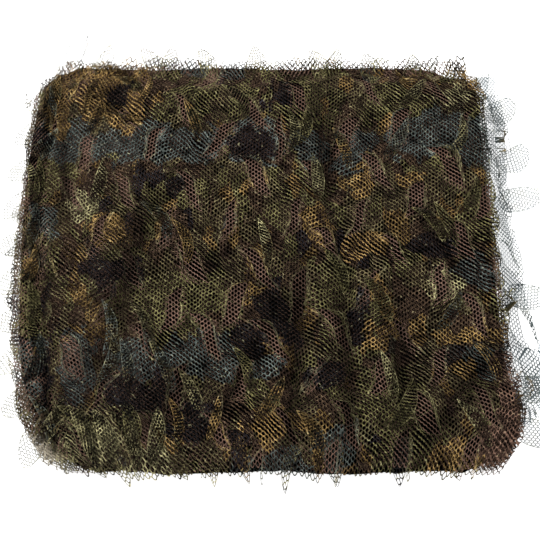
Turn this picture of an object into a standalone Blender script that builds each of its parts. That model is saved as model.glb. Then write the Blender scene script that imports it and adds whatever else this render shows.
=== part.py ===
"""A camouflage net folded into a flat pack, as one long strip laid back and forth.

The strip is hexagonal netting with a leaf-cut cloth on it, counted here as one sheet.
It zigzags between folds on the left and on the right, with its lower end out past the
right side, flat on the surface, and its upper end on top, short of the left-hand folds.

Frame: metres, +Z up, X along the strip, the front of the pack towards -Y, and the
origin on the surface, under the middle of the pack's footprint.
"""

import math
from collections import namedtuple

import bpy
import bmesh
from mathutils import Vector

PACK_NAME = "camouflage_net"
NODE_NAME = "net"

# Driving dimensions, in metres.
LAYERS = 9
PLY = 0.0014  # netting and its leaves, pressed together
PITCH = 0.0048  # from one layer's middle to the next
FRONT_Y = -0.1570
BACK_Y = 0.1715

# The pack's sides, before the corners are rounded off.
LEFT_X = -0.199  # the left side bows out to here
LEFT_BOW_Y = 0.040  # where it bows out furthest
LEFT_CURVE = 0.62  # how fast it draws in from there, per metre
RIGHT_X = 0.1715  # the right side at the pack's middle
RIGHT_SLOPE = -0.015
FLARE = 0.010  # the right side's extra reach near the front
FLARE_START_Y = -0.075
FLARE_LENGTH = 0.055

# Corners: how far the sides draw in, and over what length.
FRONT_CORNER_IN, FRONT_CORNER_LENGTH = 0.020, 0.050
BACK_CORNER_IN, BACK_CORNER_LENGTH = 0.010, 0.030

# The layers press together towards the open edges at the front and the back.
FRONT_PRESS, FRONT_PRESS_LENGTH = 0.35, 0.045
BACK_PRESS, BACK_PRESS_LENGTH = 0.32, 0.032
RELIEF_AT_EDGE = 0.3  # share of the creases' depth left at the open edges

# The top layer reaches and hangs a little over the front, but not at its right-hand fold.
OVERHANG = 0.0070
HANG = 0.0040
OVERHANG_RIGHT_X = 0.170
OVERHANG_FADE = 0.045

# The lower end lies out past the right side, and the upper end stops short on the left.
TAIL_REACH = 0.031
TAIL_FRONT_Y = -0.128
TAIL_FADE = 0.028
TAIL_WAVE, TAIL_WAVE_LENGTH = 0.0035, 0.105
TAIL_BACK_REACH = 0.014  # the lower end also reaches further back
TAIL_BACK_START_X, TAIL_BACK_FADE = 0.145, 0.035
TOP_END_INSET = 0.031
TOP_END_WAVE, TOP_END_WAVE_LENGTH = 0.0030, 0.130
TOP_END_DIP = 0.0015
TOP_END_DIP_LENGTH = 0.014

EDGE_WAVE, EDGE_WAVE_LENGTH = 0.0016, 0.110  # front and back edges
EDGE_TURN = 1.9  # phase from layer to layer, radians

# Each turn joins a layer to the one above it: even turns on the left, odd on the right.
# inset: how far the fold stays inside the side line. end: length of its round end.
# rise: how far the upper branch swells up. wave: how much the fold wanders. The length
# and the rise are those in the middle of the pack, where the layers aren't pressed.
Turn = namedtuple("Turn", "inset end rise wave")
TURNS = (
    Turn(inset=0.0100, end=0.0034, rise=0.0000, wave=0.0020),
    Turn(inset=-0.0020, end=0.0032, rise=0.0000, wave=0.0018),
    Turn(inset=0.0020, end=0.0034, rise=0.0000, wave=0.0024),
    Turn(inset=0.0040, end=0.0032, rise=0.0000, wave=0.0016),
    Turn(inset=0.0080, end=0.0034, rise=0.0000, wave=0.0022),
    Turn(inset=0.0020, end=0.0032, rise=0.0000, wave=0.0014),
    Turn(inset=0.0000, end=0.0066, rise=0.0070, wave=0.0016),
    Turn(inset=0.0000, end=0.0031, rise=0.0000, wave=0.0006),
)
SWELL_START, SWELL_FULL = 0.026, 0.012  # distances from the fold's tip
TURN_WAVE_LENGTH = 0.145

# How far each layer's open edges stay inside the front and back lines, lowest first.
Edges = namedtuple("Edges", "front back")
LAYER_EDGES = (
    Edges(front=0.0060, back=0.0010),
    Edges(front=0.0040, back=-0.0020),
    Edges(front=0.0065, back=0.0020),
    Edges(front=0.0045, back=-0.0010),
    Edges(front=0.0066, back=0.0010),
    Edges(front=0.0060, back=-0.0008),
    Edges(front=0.0068, back=0.0004),
    Edges(front=0.0075, back=0.0020),
    Edges(front=0.0070, back=0.0000),
)

# Soft troughs and ridges in the upper layers. x and y: middle. lean: shift in x for
# each metre of y. wide and long: half sizes. depth: below zero for a trough.
Crease = namedtuple("Crease", "x y lean wide long depth")
CREASES = (
    Crease(x=0.040, y=0.100, lean=-0.04, wide=0.009, long=0.070, depth=-0.0036),
    Crease(x=0.058, y=0.105, lean=0.02, wide=0.010, long=0.060, depth=0.0020),
    Crease(x=0.018, y=-0.080, lean=0.05, wide=0.009, long=0.090, depth=-0.0028),
    Crease(x=0.036, y=-0.070, lean=0.03, wide=0.009, long=0.090, depth=0.0022),
    Crease(x=0.055, y=-0.075, lean=-0.02, wide=0.009, long=0.085, depth=-0.0030),
    Crease(x=0.074, y=-0.085, lean=-0.04, wide=0.010, long=0.075, depth=0.0024),
    Crease(x=0.094, y=-0.095, lean=-0.05, wide=0.010, long=0.060, depth=-0.0022),
    Crease(x=-0.075, y=-0.112, lean=0.30, wide=0.026, long=0.026, depth=-0.0040),
    Crease(x=0.006, y=-0.038, lean=-0.50, wide=0.018, long=0.022, depth=-0.0030),
    Crease(x=-0.124, y=0.142, lean=0.20, wide=0.015, long=0.018, depth=-0.0032),
    Crease(x=-0.112, y=-0.030, lean=0.25, wide=0.016, long=0.090, depth=-0.0018),
    Crease(x=-0.138, y=-0.125, lean=-0.90, wide=0.012, long=0.040, depth=0.0022),
    Crease(x=0.140, y=-0.105, lean=0.70, wide=0.014, long=0.045, depth=-0.0020),
    Crease(x=0.118, y=0.045, lean=-0.55, wide=0.020, long=0.050, depth=0.0016),
)
RELIEF_POWER = 2.5  # the creases fade quickly from the top layer down

# Where the sheet has its points: shares of a layer's run, and of the pack's depth.
PLAIN_RUN = (0.05, 0.16, 0.30, 0.44, 0.56, 0.68, 0.80, 0.91, 0.965)
CREASED_RUN = (0.03, 0.06, 0.10, 0.17, 0.27, 0.37, 0.47, 0.53, 0.585, 0.635, 0.685, 0.74, 0.82, 0.93)
CREASED_FROM = 5  # this layer and those above it take the closer points
TURN_STEPS = 6
DEPTH_SHARES = (0.0, 0.013, 0.035, 0.075, 0.15, 0.28, 0.43, 0.58, 0.73, 0.86, 0.94, 0.98, 1.0)

NET_COLOUR = (0.060, 0.052, 0.030, 1.0)
NET_ROUGHNESS = 0.85


def clamp01(value):
    return min(max(value, 0.0), 1.0)


def ease(value):
    """A smooth step from 0 to 1."""
    t = clamp01(value)
    return t * t * (3.0 - 2.0 * t)


def mix(a, b, share):
    return a + (b - a) * share


def wave(place, length, phase):
    return math.sin(2.0 * math.pi * place / length + phase)


def corner_in(y):
    """How far a side draws in at its rounded corners."""
    front = clamp01(1.0 - (y - FRONT_Y) / FRONT_CORNER_LENGTH)
    back = clamp01(1.0 - (BACK_Y - y) / BACK_CORNER_LENGTH)
    return FRONT_CORNER_IN * front**2 + BACK_CORNER_IN * back**2


def left_side(y):
    return LEFT_X + LEFT_CURVE * (y - LEFT_BOW_Y) ** 2


def right_side(y):
    flare = FLARE * ease((FLARE_START_Y - y) / FLARE_LENGTH)
    return RIGHT_X + RIGHT_SLOPE * y + flare


def turn_tip(index, y):
    """The furthest x of a fold, on the left for an even turn and on the right for an odd one."""
    turn = TURNS[index]
    wander = turn.wave * wave(y, TURN_WAVE_LENGTH, EDGE_TURN * index)
    inset = turn.inset + wander + corner_in(y)
    if index % 2 == 0:
        return left_side(y) + inset
    return right_side(y) - inset


def tail_end(y):
    """The strip's lower end, past the right side but for the front corner."""
    reach = TAIL_REACH + TAIL_WAVE * wave(y, TAIL_WAVE_LENGTH, 0.6)
    front = clamp01(1.0 - (y - FRONT_Y) / FRONT_CORNER_LENGTH)
    return right_side(y) - FRONT_CORNER_IN * front**2 + reach * ease((y - TAIL_FRONT_Y) / TAIL_FADE)


def top_end(y):
    """The strip's upper end, short of the left-hand fold below it."""
    return turn_tip(LAYERS - 3, y) + TOP_END_INSET + TOP_END_WAVE * wave(y, TOP_END_WAVE_LENGTH, 0.9)


def open_edge(level, column):
    """An open edge's inset at a level between layers."""
    low = min(int(level), LAYERS - 2)
    return mix(
        getattr(LAYER_EDGES[low], column), getattr(LAYER_EDGES[low + 1], column), level - low
    )


def overhang(level, x):
    """Whether the sheet is the overhanging top layer: from 0 to 1."""
    return clamp01(level - (LAYERS - 2)) * ease((OVERHANG_RIGHT_X - x) / OVERHANG_FADE)


def plain_depth(level, share):
    """The y at this share of the way from a layer's front edge to its back edge."""
    return mix(FRONT_Y + open_edge(level, "front"), BACK_Y - open_edge(level, "back"), share)


def depth_at(level, x, share):
    """The same, with the edges' ripples, the overhang and the lower end's longer back."""
    ripple = EDGE_WAVE * wave(x, EDGE_WAVE_LENGTH, EDGE_TURN * level)
    front = ripple - OVERHANG * overhang(level, x)
    tail = TAIL_BACK_REACH * ease((x - TAIL_BACK_START_X) / TAIL_BACK_FADE) * clamp01(1.0 - level)
    return plain_depth(level, share) + mix(front, tail - ripple, share)


def pressed(y):
    """How closely the layers lie, from 1 in the middle to less at the open edges."""
    front = clamp01(1.0 - (y - FRONT_Y) / FRONT_PRESS_LENGTH)
    back = clamp01(1.0 - (BACK_Y - y) / BACK_PRESS_LENGTH)
    return 1.0 - FRONT_PRESS * front**2 - BACK_PRESS * back**2


def relief(x, y):
    """The creases' height on the top layer."""
    height = 0.0
    for c in CREASES:
        across = (x - c.x - c.lean * (y - c.y)) / c.wide
        along = (y - c.y) / c.long
        height += c.depth * math.exp(-(across**2) - along**4)
    return height


def layer_height(level, x, y):
    """The z of the sheet's middle at a level between layers."""
    close = pressed(y)
    fade = RELIEF_AT_EDGE + (1.0 - RELIEF_AT_EDGE) * clamp01(2.0 * close - 1.0)
    share = (level / (LAYERS - 1)) ** RELIEF_POWER
    hang = HANG * overhang(level, x) * clamp01(1.0 - (y - FRONT_Y) / OVERHANG) ** 2
    return PLY / 2 + level * PITCH * close + relief(x, y) * fade * share - hang


def swell(index, x, tip):
    """How much a turn's upper branch rises near its tip."""
    distance = abs(x - tip)
    return TURNS[index].rise * ease((SWELL_START - distance) / (SWELL_START - SWELL_FULL))


def run_height(layer, x, y):
    """The height of a layer's run, with the swelling at its turn and the dip at the upper end."""
    height = layer_height(layer, x, y)
    if layer > 0:
        height += swell(layer - 1, x, turn_tip(layer - 1, y)) * pressed(y)
    if layer == LAYERS - 1:
        distance = x - top_end(y)
        height -= TOP_END_DIP * pressed(y) * ease(1.0 - distance / TOP_END_DIP_LENGTH)
    return height


def run_points(layer, share):
    """One layer's points at this share of the depth, from its right to its left."""
    plain_y = plain_depth(layer, share)
    left_turn = layer if layer % 2 == 0 else layer - 1
    right_turn = layer - 1 if layer % 2 == 0 else layer
    if layer == LAYERS - 1:
        left = top_end(plain_y)
    else:
        left = turn_tip(left_turn, plain_y) + TURNS[left_turn].end * pressed(plain_y)
    if layer == 0:
        right = tail_end(plain_y)
    else:
        right = turn_tip(right_turn, plain_y) - TURNS[right_turn].end * pressed(plain_y)
    shares = (0.0, *(CREASED_RUN if layer >= CREASED_FROM else PLAIN_RUN), 1.0)
    points = []
    for part in reversed(shares):
        x = mix(left, right, part)
        y = depth_at(layer, x, share)
        points.append(Vector((x, y, run_height(layer, x, y))))
    return points


def turn_points(index, share, low, high):
    """The points of a fold's round end, between the layer below and the one above."""
    side = -1.0 if index % 2 == 0 else 1.0
    points = []
    for step in range(1, TURN_STEPS):
        angle = math.pi * step / TURN_STEPS
        up = 0.5 - 0.5 * math.cos(angle)
        y = depth_at(index + up, mix(low.x, high.x, up), share)
        x = mix(low.x, high.x, up) + side * TURNS[index].end * pressed(y) * math.sin(angle)
        points.append(Vector((x, y, mix(low.z, high.z, up))))
    return points


def strip_points(share):
    """The whole strip's points at this share of the depth, from its lower end to its upper."""
    points = []
    for layer in range(LAYERS):
        run = run_points(layer, share)
        if layer % 2 == 1:
            run.reverse()
        if layer > 0:
            points += turn_points(layer - 1, share, points[-1], run[0])
        points += run
    return points


def folded_sheet():
    """The strip's middle surface as a grid, and its footprint's middle moved to the origin."""
    rows = [strip_points(share) for share in DEPTH_SHARES]
    low = [min(min(p[axis] for p in row) for row in rows) for axis in (0, 1)]
    high = [max(max(p[axis] for p in row) for row in rows) for axis in (0, 1)]
    middle = Vector(((low[0] + high[0]) / 2, (low[1] + high[1]) / 2, 0.0))
    along = len(rows[0])
    mesh = bpy.data.meshes.new(NODE_NAME)
    sheet = bmesh.new()
    bmesh.ops.create_grid(sheet, x_segments=along - 1, y_segments=len(rows) - 1, size=1.0)
    sheet.verts.ensure_lookup_table()
    for index, vert in enumerate(sheet.verts):
        vert.co = rows[index // along][index % along] - middle
    bmesh.ops.recalc_face_normals(sheet, faces=sheet.faces[:])
    for face in sheet.faces:
        face.smooth = True
    sheet.to_mesh(mesh)
    sheet.free()
    return mesh


def net_material():
    material = bpy.data.materials.new("camouflage_netting")
    material.use_nodes = True
    shader = material.node_tree.nodes["Principled BSDF"]
    shader.inputs["Base Color"].default_value = NET_COLOUR
    shader.inputs["Roughness"].default_value = NET_ROUGHNESS
    shader.inputs["Metallic"].default_value = 0.0
    return material


def build():
    for old in list(bpy.data.objects):
        bpy.data.objects.remove(old, do_unlink=True)
    pack = bpy.data.collections.new(PACK_NAME)
    bpy.context.scene.collection.children.link(pack)
    mesh = folded_sheet()
    mesh.materials.append(net_material())
    net = bpy.data.objects.new(NODE_NAME, mesh)
    pack.objects.link(net)
    thickness = net.modifiers.new("ply", "SOLIDIFY")
    thickness.thickness = PLY
    thickness.offset = 0.0
    thickness.use_even_offset = True
    thickness.use_rim = True


build()
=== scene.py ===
import functools
import math
from collections import namedtuple

import bpy
import numpy as np
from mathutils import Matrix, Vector


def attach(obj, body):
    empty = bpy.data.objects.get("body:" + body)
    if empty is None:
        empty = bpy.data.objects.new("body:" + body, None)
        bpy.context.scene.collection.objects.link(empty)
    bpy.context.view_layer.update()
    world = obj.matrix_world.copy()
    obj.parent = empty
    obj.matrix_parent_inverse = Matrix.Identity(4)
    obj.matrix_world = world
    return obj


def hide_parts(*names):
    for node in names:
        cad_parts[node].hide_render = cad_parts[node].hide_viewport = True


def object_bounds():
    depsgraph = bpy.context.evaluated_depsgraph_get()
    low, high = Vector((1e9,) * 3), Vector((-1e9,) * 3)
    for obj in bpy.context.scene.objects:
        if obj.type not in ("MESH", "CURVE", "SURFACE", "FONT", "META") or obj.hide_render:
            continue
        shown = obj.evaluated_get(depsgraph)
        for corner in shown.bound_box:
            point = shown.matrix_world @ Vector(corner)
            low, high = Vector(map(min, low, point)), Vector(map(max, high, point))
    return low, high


bl_info = {
    "name": "Folded Camouflage Net",
    "version": (1, 0, 0),
    "blender": (4, 5, 0),
    "location": "3D View > Sidebar > Camouflage Net",
    "description": "Builds leaf-cut camouflage netting, folded back and forth into a flat pack",
    "category": "Add Mesh",
}

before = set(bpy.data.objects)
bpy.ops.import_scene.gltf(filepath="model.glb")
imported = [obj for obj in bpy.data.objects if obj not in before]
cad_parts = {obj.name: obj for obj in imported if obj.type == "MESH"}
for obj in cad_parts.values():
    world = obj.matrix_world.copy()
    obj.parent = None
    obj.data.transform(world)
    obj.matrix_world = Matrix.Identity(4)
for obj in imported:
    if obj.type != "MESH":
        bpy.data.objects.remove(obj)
CAD_LOW, CAD_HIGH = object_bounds()

NODE = "net"

# The pack's folds, in metres. They are the sizes of the solid that the cloth replaces.
LAYERS = 9
PLY = 0.0014
PITCH = 0.0048
FRONT_Y = -0.1570
BACK_Y = 0.1715
LEFT_X = -0.199
LEFT_BOW_Y = 0.040
LEFT_CURVE = 0.62
RIGHT_X = 0.1715
RIGHT_SLOPE = -0.015
FLARE = 0.010
FLARE_START_Y = -0.075
FLARE_LENGTH = 0.055
FRONT_CORNER_IN, FRONT_CORNER_LENGTH = 0.020, 0.050
BACK_CORNER_IN, BACK_CORNER_LENGTH = 0.010, 0.030
FRONT_PRESS, FRONT_PRESS_LENGTH = 0.35, 0.045
BACK_PRESS, BACK_PRESS_LENGTH = 0.32, 0.032
RELIEF_AT_EDGE = 0.3
OVERHANG = 0.0070
HANG = 0.0040
OVERHANG_RIGHT_X = 0.170
OVERHANG_FADE = 0.045
TAIL_REACH = 0.031
TAIL_FRONT_Y = -0.128
TAIL_FADE = 0.028
TAIL_WAVE, TAIL_WAVE_LENGTH = 0.0035, 0.105
TAIL_BACK_REACH = 0.014
TAIL_BACK_START_X, TAIL_BACK_FADE = 0.145, 0.035
TOP_END_INSET = 0.031
TOP_END_WAVE, TOP_END_WAVE_LENGTH = 0.0030, 0.130
TOP_END_DIP = 0.0015
TOP_END_DIP_LENGTH = 0.014
EDGE_WAVE, EDGE_WAVE_LENGTH = 0.0016, 0.110
EDGE_TURN = 1.9
SWELL_START, SWELL_FULL = 0.026, 0.012
TURN_WAVE_LENGTH = 0.145
RELIEF_POWER = 2.5

Turn = namedtuple("Turn", "inset end rise wave")
TURNS = (
    Turn(inset=0.0100, end=0.0034, rise=0.0000, wave=0.0020),
    Turn(inset=-0.0020, end=0.0032, rise=0.0000, wave=0.0018),
    Turn(inset=0.0020, end=0.0034, rise=0.0000, wave=0.0024),
    Turn(inset=0.0040, end=0.0032, rise=0.0000, wave=0.0016),
    Turn(inset=0.0080, end=0.0034, rise=0.0000, wave=0.0022),
    Turn(inset=0.0020, end=0.0032, rise=0.0000, wave=0.0014),
    Turn(inset=0.0000, end=0.0066, rise=0.0070, wave=0.0016),
    Turn(inset=0.0000, end=0.0031, rise=0.0000, wave=0.0006),
)

Edges = namedtuple("Edges", "front back")
LAYER_EDGES = (
    Edges(front=0.0060, back=0.0010),
    Edges(front=0.0040, back=-0.0020),
    Edges(front=0.0065, back=0.0020),
    Edges(front=0.0045, back=-0.0010),
    Edges(front=0.0066, back=0.0010),
    Edges(front=0.0060, back=-0.0008),
    Edges(front=0.0068, back=0.0004),
    Edges(front=0.0075, back=0.0020),
    Edges(front=0.0070, back=0.0000),
)

# Width of netting along the hidden layers' edges, and along the fold that shows on the left.
BAND = 0.011
LEFT_BAND = 0.088
# How far the upper layers' netting goes past the back edge of the strip.
BACK_PAST = 0.0055
# How far the closed sheet's ragged edges reach.
RAGGED = 0.0030
# The height that no leaf goes over.
TOP_MOST = 0.0515
# Width of the sealed lip along a cut or round a leaf.
LIP = 0.0005
# How far in from the left folds the closed sheet is drawn, so that light comes through them.
LEFT_THIN = 0.0060
# How much leaf tips at the back edge rise, for each metre that they stick out.
BACK_LIFT = 1.3
# The most that a leaf at the back edge rises.
BACK_RISE_MOST = 0.007

# Heights over which the cloth starts to lift at the back edge, and to count as upper cloth.
LIFT_START, LIFT_FADE = 0.012, 0.008
UPPER_START, UPPER_FADE = 0.020, 0.006
# How far before the back edge the lift begins.
LIFT_BEFORE = 0.002
# The height that no cloth goes under.
LOWEST = 0.0003
# How much, and over what length, the cloth's mesh is pulled about in its own plane.
PULL, PULL_LENGTH = 0.22, 0.014
# Lengths of the facets and of the small waves in puffed cloth.
FACET_LENGTH, FINE_LENGTH = 0.034, 0.009
# Width of the painted shade in the valleys between facets, in shares of their height, and length of its
# patches.
VALLEY, VALLEY_LENGTH = 0.13, 0.040
# Width of the pale fringe with a painted highlight along the front and back edges.
FRINGE = 0.0025
# How far round a fold the closed sheet stops short, and by how much at the front and the back.
FOLD_REACH, FOLD_SHORT = 0.022, (0.009, 0.007)

# Cloth that lies lower than this, past the right side, is the loose end.
LOOSE_HEIGHT = 0.012
# How far the outermost cloth on the left is drawn in, at the front and at the back.
LEFT_DRAWN = (0.0035, 0.0080)
# The share of its reach that the loose end is drawn in by, at the front and at the back.
RIGHT_DRAWN = (0.12, 0.36)
# Depth and spacing of the notches between the leaf tips at the start of a stretch of cloth.
NOTCH, NOTCH_LENGTH = 0.012, 0.052

# Main creases: soft troughs (depth below zero) and ridges in the upper layers.
Crease = namedtuple("Crease", "x y lean wide long depth")
CREASES = (
    Crease(x=0.040, y=0.100, lean=-0.04, wide=0.009, long=0.070, depth=-0.0036),
    Crease(x=0.058, y=0.105, lean=0.02, wide=0.010, long=0.060, depth=0.0020),
    Crease(x=0.018, y=-0.080, lean=0.05, wide=0.009, long=0.090, depth=-0.0028),
    Crease(x=0.036, y=-0.070, lean=0.03, wide=0.009, long=0.090, depth=0.0022),
    Crease(x=0.055, y=-0.075, lean=-0.02, wide=0.009, long=0.085, depth=-0.0030),
    Crease(x=0.074, y=-0.085, lean=-0.04, wide=0.010, long=0.075, depth=0.0024),
    Crease(x=0.094, y=-0.095, lean=-0.05, wide=0.010, long=0.060, depth=-0.0022),
    Crease(x=-0.075, y=-0.112, lean=0.30, wide=0.026, long=0.026, depth=-0.0040),
    Crease(x=0.006, y=-0.038, lean=-0.50, wide=0.018, long=0.022, depth=-0.0030),
    Crease(x=-0.124, y=0.142, lean=0.20, wide=0.015, long=0.018, depth=-0.0032),
    Crease(x=-0.112, y=-0.030, lean=0.25, wide=0.016, long=0.090, depth=-0.0018),
    Crease(x=-0.138, y=-0.125, lean=-0.90, wide=0.012, long=0.040, depth=0.0022),
    Crease(x=0.140, y=-0.105, lean=0.70, wide=0.014, long=0.045, depth=-0.0020),
    Crease(x=0.118, y=0.045, lean=-0.55, wide=0.020, long=0.050, depth=0.0016),
)

# Sharper creases in the upper cloth, in the frame's own places, all of one depth.
FINE_DEPTH = 0.0030
FINE_CREASES = (
    Crease(x=-0.167, y=0.080, lean=-0.10, wide=0.0055, long=0.060, depth=-FINE_DEPTH),
    Crease(x=-0.173, y=-0.044, lean=0.10, wide=0.0045, long=0.020, depth=-FINE_DEPTH),
    Crease(x=-0.167, y=-0.122, lean=-0.10, wide=0.0050, long=0.038, depth=-FINE_DEPTH),
    Crease(x=0.041, y=0.085, lean=0.04, wide=0.0045, long=0.062, depth=-FINE_DEPTH),
    Crease(x=0.016, y=-0.080, lean=0.08, wide=0.0045, long=0.080, depth=-FINE_DEPTH),
    Crease(x=0.052, y=-0.085, lean=-0.05, wide=0.0045, long=0.075, depth=-FINE_DEPTH),
    Crease(x=0.090, y=-0.110, lean=-0.10, wide=0.0045, long=0.050, depth=-FINE_DEPTH),
    Crease(x=-0.110, y=-0.030, lean=0.30, wide=0.0040, long=0.070, depth=-FINE_DEPTH),
    Crease(x=0.118, y=0.005, lean=-0.60, wide=0.0040, long=0.035, depth=-FINE_DEPTH),
    Crease(x=-0.030, y=-0.110, lean=0.45, wide=0.0040, long=0.045, depth=-FINE_DEPTH),
)


# --------------------------------------------------------------------------- the fold


def ease(value):
    t = np.clip(value, 0.0, 1.0)
    return t * t * (3.0 - 2.0 * t)


def mix(a, b, share):
    return a + (b - a) * share


def wave(place, length, phase):
    return np.sin(2.0 * math.pi * place / length + phase)


def front_corner(y):
    return np.clip(1.0 - (y - FRONT_Y) / FRONT_CORNER_LENGTH, 0.0, 1.0)


def corner_in(y):
    back = np.clip(1.0 - (BACK_Y - y) / BACK_CORNER_LENGTH, 0.0, 1.0)
    return FRONT_CORNER_IN * front_corner(y) ** 2 + BACK_CORNER_IN * back**2


def left_side(y):
    return LEFT_X + LEFT_CURVE * (y - LEFT_BOW_Y) ** 2


def right_side(y):
    return RIGHT_X + RIGHT_SLOPE * y + FLARE * ease((FLARE_START_Y - y) / FLARE_LENGTH)


def turn_tip(index, y):
    turn = TURNS[index]
    inset = turn.inset + turn.wave * wave(y, TURN_WAVE_LENGTH, EDGE_TURN * index) + corner_in(y)
    return left_side(y) + inset if index % 2 == 0 else right_side(y) - inset


def tail_end(y):
    reach = TAIL_REACH + TAIL_WAVE * wave(y, TAIL_WAVE_LENGTH, 0.6)
    drawn_in = FRONT_CORNER_IN * front_corner(y) ** 2
    return right_side(y) - drawn_in + reach * ease((y - TAIL_FRONT_Y) / TAIL_FADE)


def top_end(y):
    return turn_tip(LAYERS - 3, y) + TOP_END_INSET + TOP_END_WAVE * wave(y, TOP_END_WAVE_LENGTH, 0.9)


def open_edge(level, column):
    edges = [getattr(e, column) for e in LAYER_EDGES]
    return np.interp(level, range(LAYERS), edges)


def overhang(level, x):
    return np.clip(level - (LAYERS - 2), 0.0, 1.0) * ease((OVERHANG_RIGHT_X - x) / OVERHANG_FADE)


def plain_depth(level, share):
    return mix(FRONT_Y + open_edge(level, "front"), BACK_Y - open_edge(level, "back"), share)


def depth_at(level, x, share):
    ripple = EDGE_WAVE * wave(x, EDGE_WAVE_LENGTH, EDGE_TURN * level)
    front = ripple - OVERHANG * overhang(level, x)
    longer = TAIL_BACK_REACH * ease((x - TAIL_BACK_START_X) / TAIL_BACK_FADE)
    back = longer * np.clip(1.0 - level, 0.0, 1.0) - ripple
    return plain_depth(level, share) + mix(front, back, share)


def pressed(y):
    front = np.clip(1.0 - (y - FRONT_Y) / FRONT_PRESS_LENGTH, 0.0, 1.0)
    back = np.clip(1.0 - (BACK_Y - y) / BACK_PRESS_LENGTH, 0.0, 1.0)
    return 1.0 - FRONT_PRESS * front**2 - BACK_PRESS * back**2


def relief(x, y):
    height = 0.0
    for c in CREASES:
        across = (x - c.x - c.lean * (y - c.y)) / c.wide
        along = (y - c.y) / c.long
        height = height + c.depth * np.exp(-(across**2) - along**4)
    return height


def layer_height(level, x, y):
    close = pressed(y)
    fade = RELIEF_AT_EDGE + (1.0 - RELIEF_AT_EDGE) * np.clip(2.0 * close - 1.0, 0.0, 1.0)
    share = (level / (LAYERS - 1)) ** RELIEF_POWER
    near_front = np.clip(1.0 - (y - FRONT_Y) / OVERHANG, 0.0, None)
    hang = HANG * overhang(level, x) * near_front**2
    return PLY / 2 + level * PITCH * close + relief(x, y) * fade * share - hang


def run_height(layer, x, y):
    height = layer_height(layer, x, y)
    if layer > 0:
        away = np.abs(x - turn_tip(layer - 1, y))
        swell = TURNS[layer - 1].rise * ease((SWELL_START - away) / (SWELL_START - SWELL_FULL))
        height = height + swell * pressed(y)
    if layer == LAYERS - 1:
        height = height - TOP_END_DIP * pressed(y) * ease(1.0 - (x - top_end(y)) / TOP_END_DIP_LENGTH)
    return height


def run_points(layer, share, steps):
    """One layer's points, from the right to the left."""
    plain_y = plain_depth(layer, share)
    left_turn = layer if layer % 2 == 0 else layer - 1
    right_turn = layer - 1 if layer % 2 == 0 else layer
    if layer == LAYERS - 1:
        left = top_end(plain_y)
    else:
        left = turn_tip(left_turn, plain_y) + TURNS[left_turn].end * pressed(plain_y)
    if layer == 0:
        right = tail_end(plain_y)
    else:
        right = turn_tip(right_turn, plain_y) - TURNS[right_turn].end * pressed(plain_y)
    x = mix(right, left, np.linspace(0.0, 1.0, steps)[None, :])
    y = depth_at(layer, x, share)
    return np.stack([x, y, run_height(layer, x, y)], -1)


def turn_points(index, share, low, high, steps):
    """The points of a fold's round end, between the layers below and above it."""
    side = -1.0 if index % 2 == 0 else 1.0
    angle = math.pi * np.arange(1, steps)[None, :] / steps
    up = 0.5 - 0.5 * np.cos(angle)
    x_mid = mix(low[:, :, 0], high[:, :, 0], up)
    y = depth_at(index + up, x_mid, share)
    x = x_mid + side * TURNS[index].end * pressed(y) * np.sin(angle)
    return np.stack([x, y, mix(low[:, :, 2], high[:, :, 2], up)], -1)


class Strip:
    """The folded strip's middle surface as a fine grid, and where its flat lengths lie on it."""

    ROWS = 150
    RUN_STEPS = 150
    TURN_STEPS = 14

    def __init__(self):
        share = np.linspace(0.0, 1.0, self.ROWS)[:, None]
        parts, spans, count = [], {}, 0
        for layer in range(LAYERS):
            run = run_points(layer, share, self.RUN_STEPS)
            if layer % 2 == 1:
                run = run[:, ::-1]
            if layer > 0:
                turn = turn_points(layer - 1, share, parts[-1][:, -1:], run[:, :1], self.TURN_STEPS)
                parts.append(turn)
                spans["turn", layer - 1] = (count - 1, count + turn.shape[1])
                count += turn.shape[1]
            parts.append(run)
            spans["layer", layer] = (count, count + run.shape[1] - 1)
            count += run.shape[1]
        points = np.concatenate(parts, 1)
        low, high = points.reshape(-1, 3).min(0), points.reshape(-1, 3).max(0)
        middle = (CAD_LOW + CAD_HIGH) / 2
        self.shift = np.array([middle.x, middle.y, 0.0]) - (low + high) / 2 * (1, 1, 0)
        self.points = points + self.shift
        steps = np.linalg.norm(np.diff(points, axis=1), axis=2).mean(0)
        self.u = np.concatenate([[0.0], np.cumsum(steps)])
        self.depth = float(np.linalg.norm(np.diff(points, axis=0), axis=2).sum(0).mean())
        along = np.gradient(self.points, axis=1)
        across = np.gradient(self.points, axis=0)
        normal = np.cross(along, across)
        self.normals = normal / np.linalg.norm(normal, axis=2, keepdims=True)
        self.spans = {key: (self.u[a], self.u[b]) for key, (a, b) in spans.items()}

    def at(self, u, v):
        """Points and normals of the surface at flat lengths u along the strip and v across it.

        Past the strip's edges the surface goes straight on."""
        past = np.minimum(u - self.u[0], 0.0) + np.maximum(u - self.u[-1], 0.0)
        column = np.interp(u, self.u, np.arange(len(self.u))) + past / (self.u[1] - self.u[0])
        row = v / self.depth * (self.ROWS - 1)
        c = np.clip(column.astype(int), 0, len(self.u) - 2)
        r = np.clip(row.astype(int), 0, self.ROWS - 2)
        fc, fr = (column - c)[:, None], (row - r)[:, None]
        found = []
        for grid, most in ((self.points, np.inf), (self.normals, 1.0)):
            fc, fr = np.minimum(fc, most), np.minimum(fr, most)
            low = mix(grid[r, c], grid[r, c + 1], fc)
            high = mix(grid[r + 1, c], grid[r + 1, c + 1], fc)
            found.append(mix(low, high, fr))
        return found


@functools.lru_cache(maxsize=None)
def strip():
    return Strip()


# --------------------------------------------------------------------------- the knitted mesh


Net = namedtuple("Net", "flat home faces lean")
Weave = namedtuple("Weave", "column pitch strand")


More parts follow.
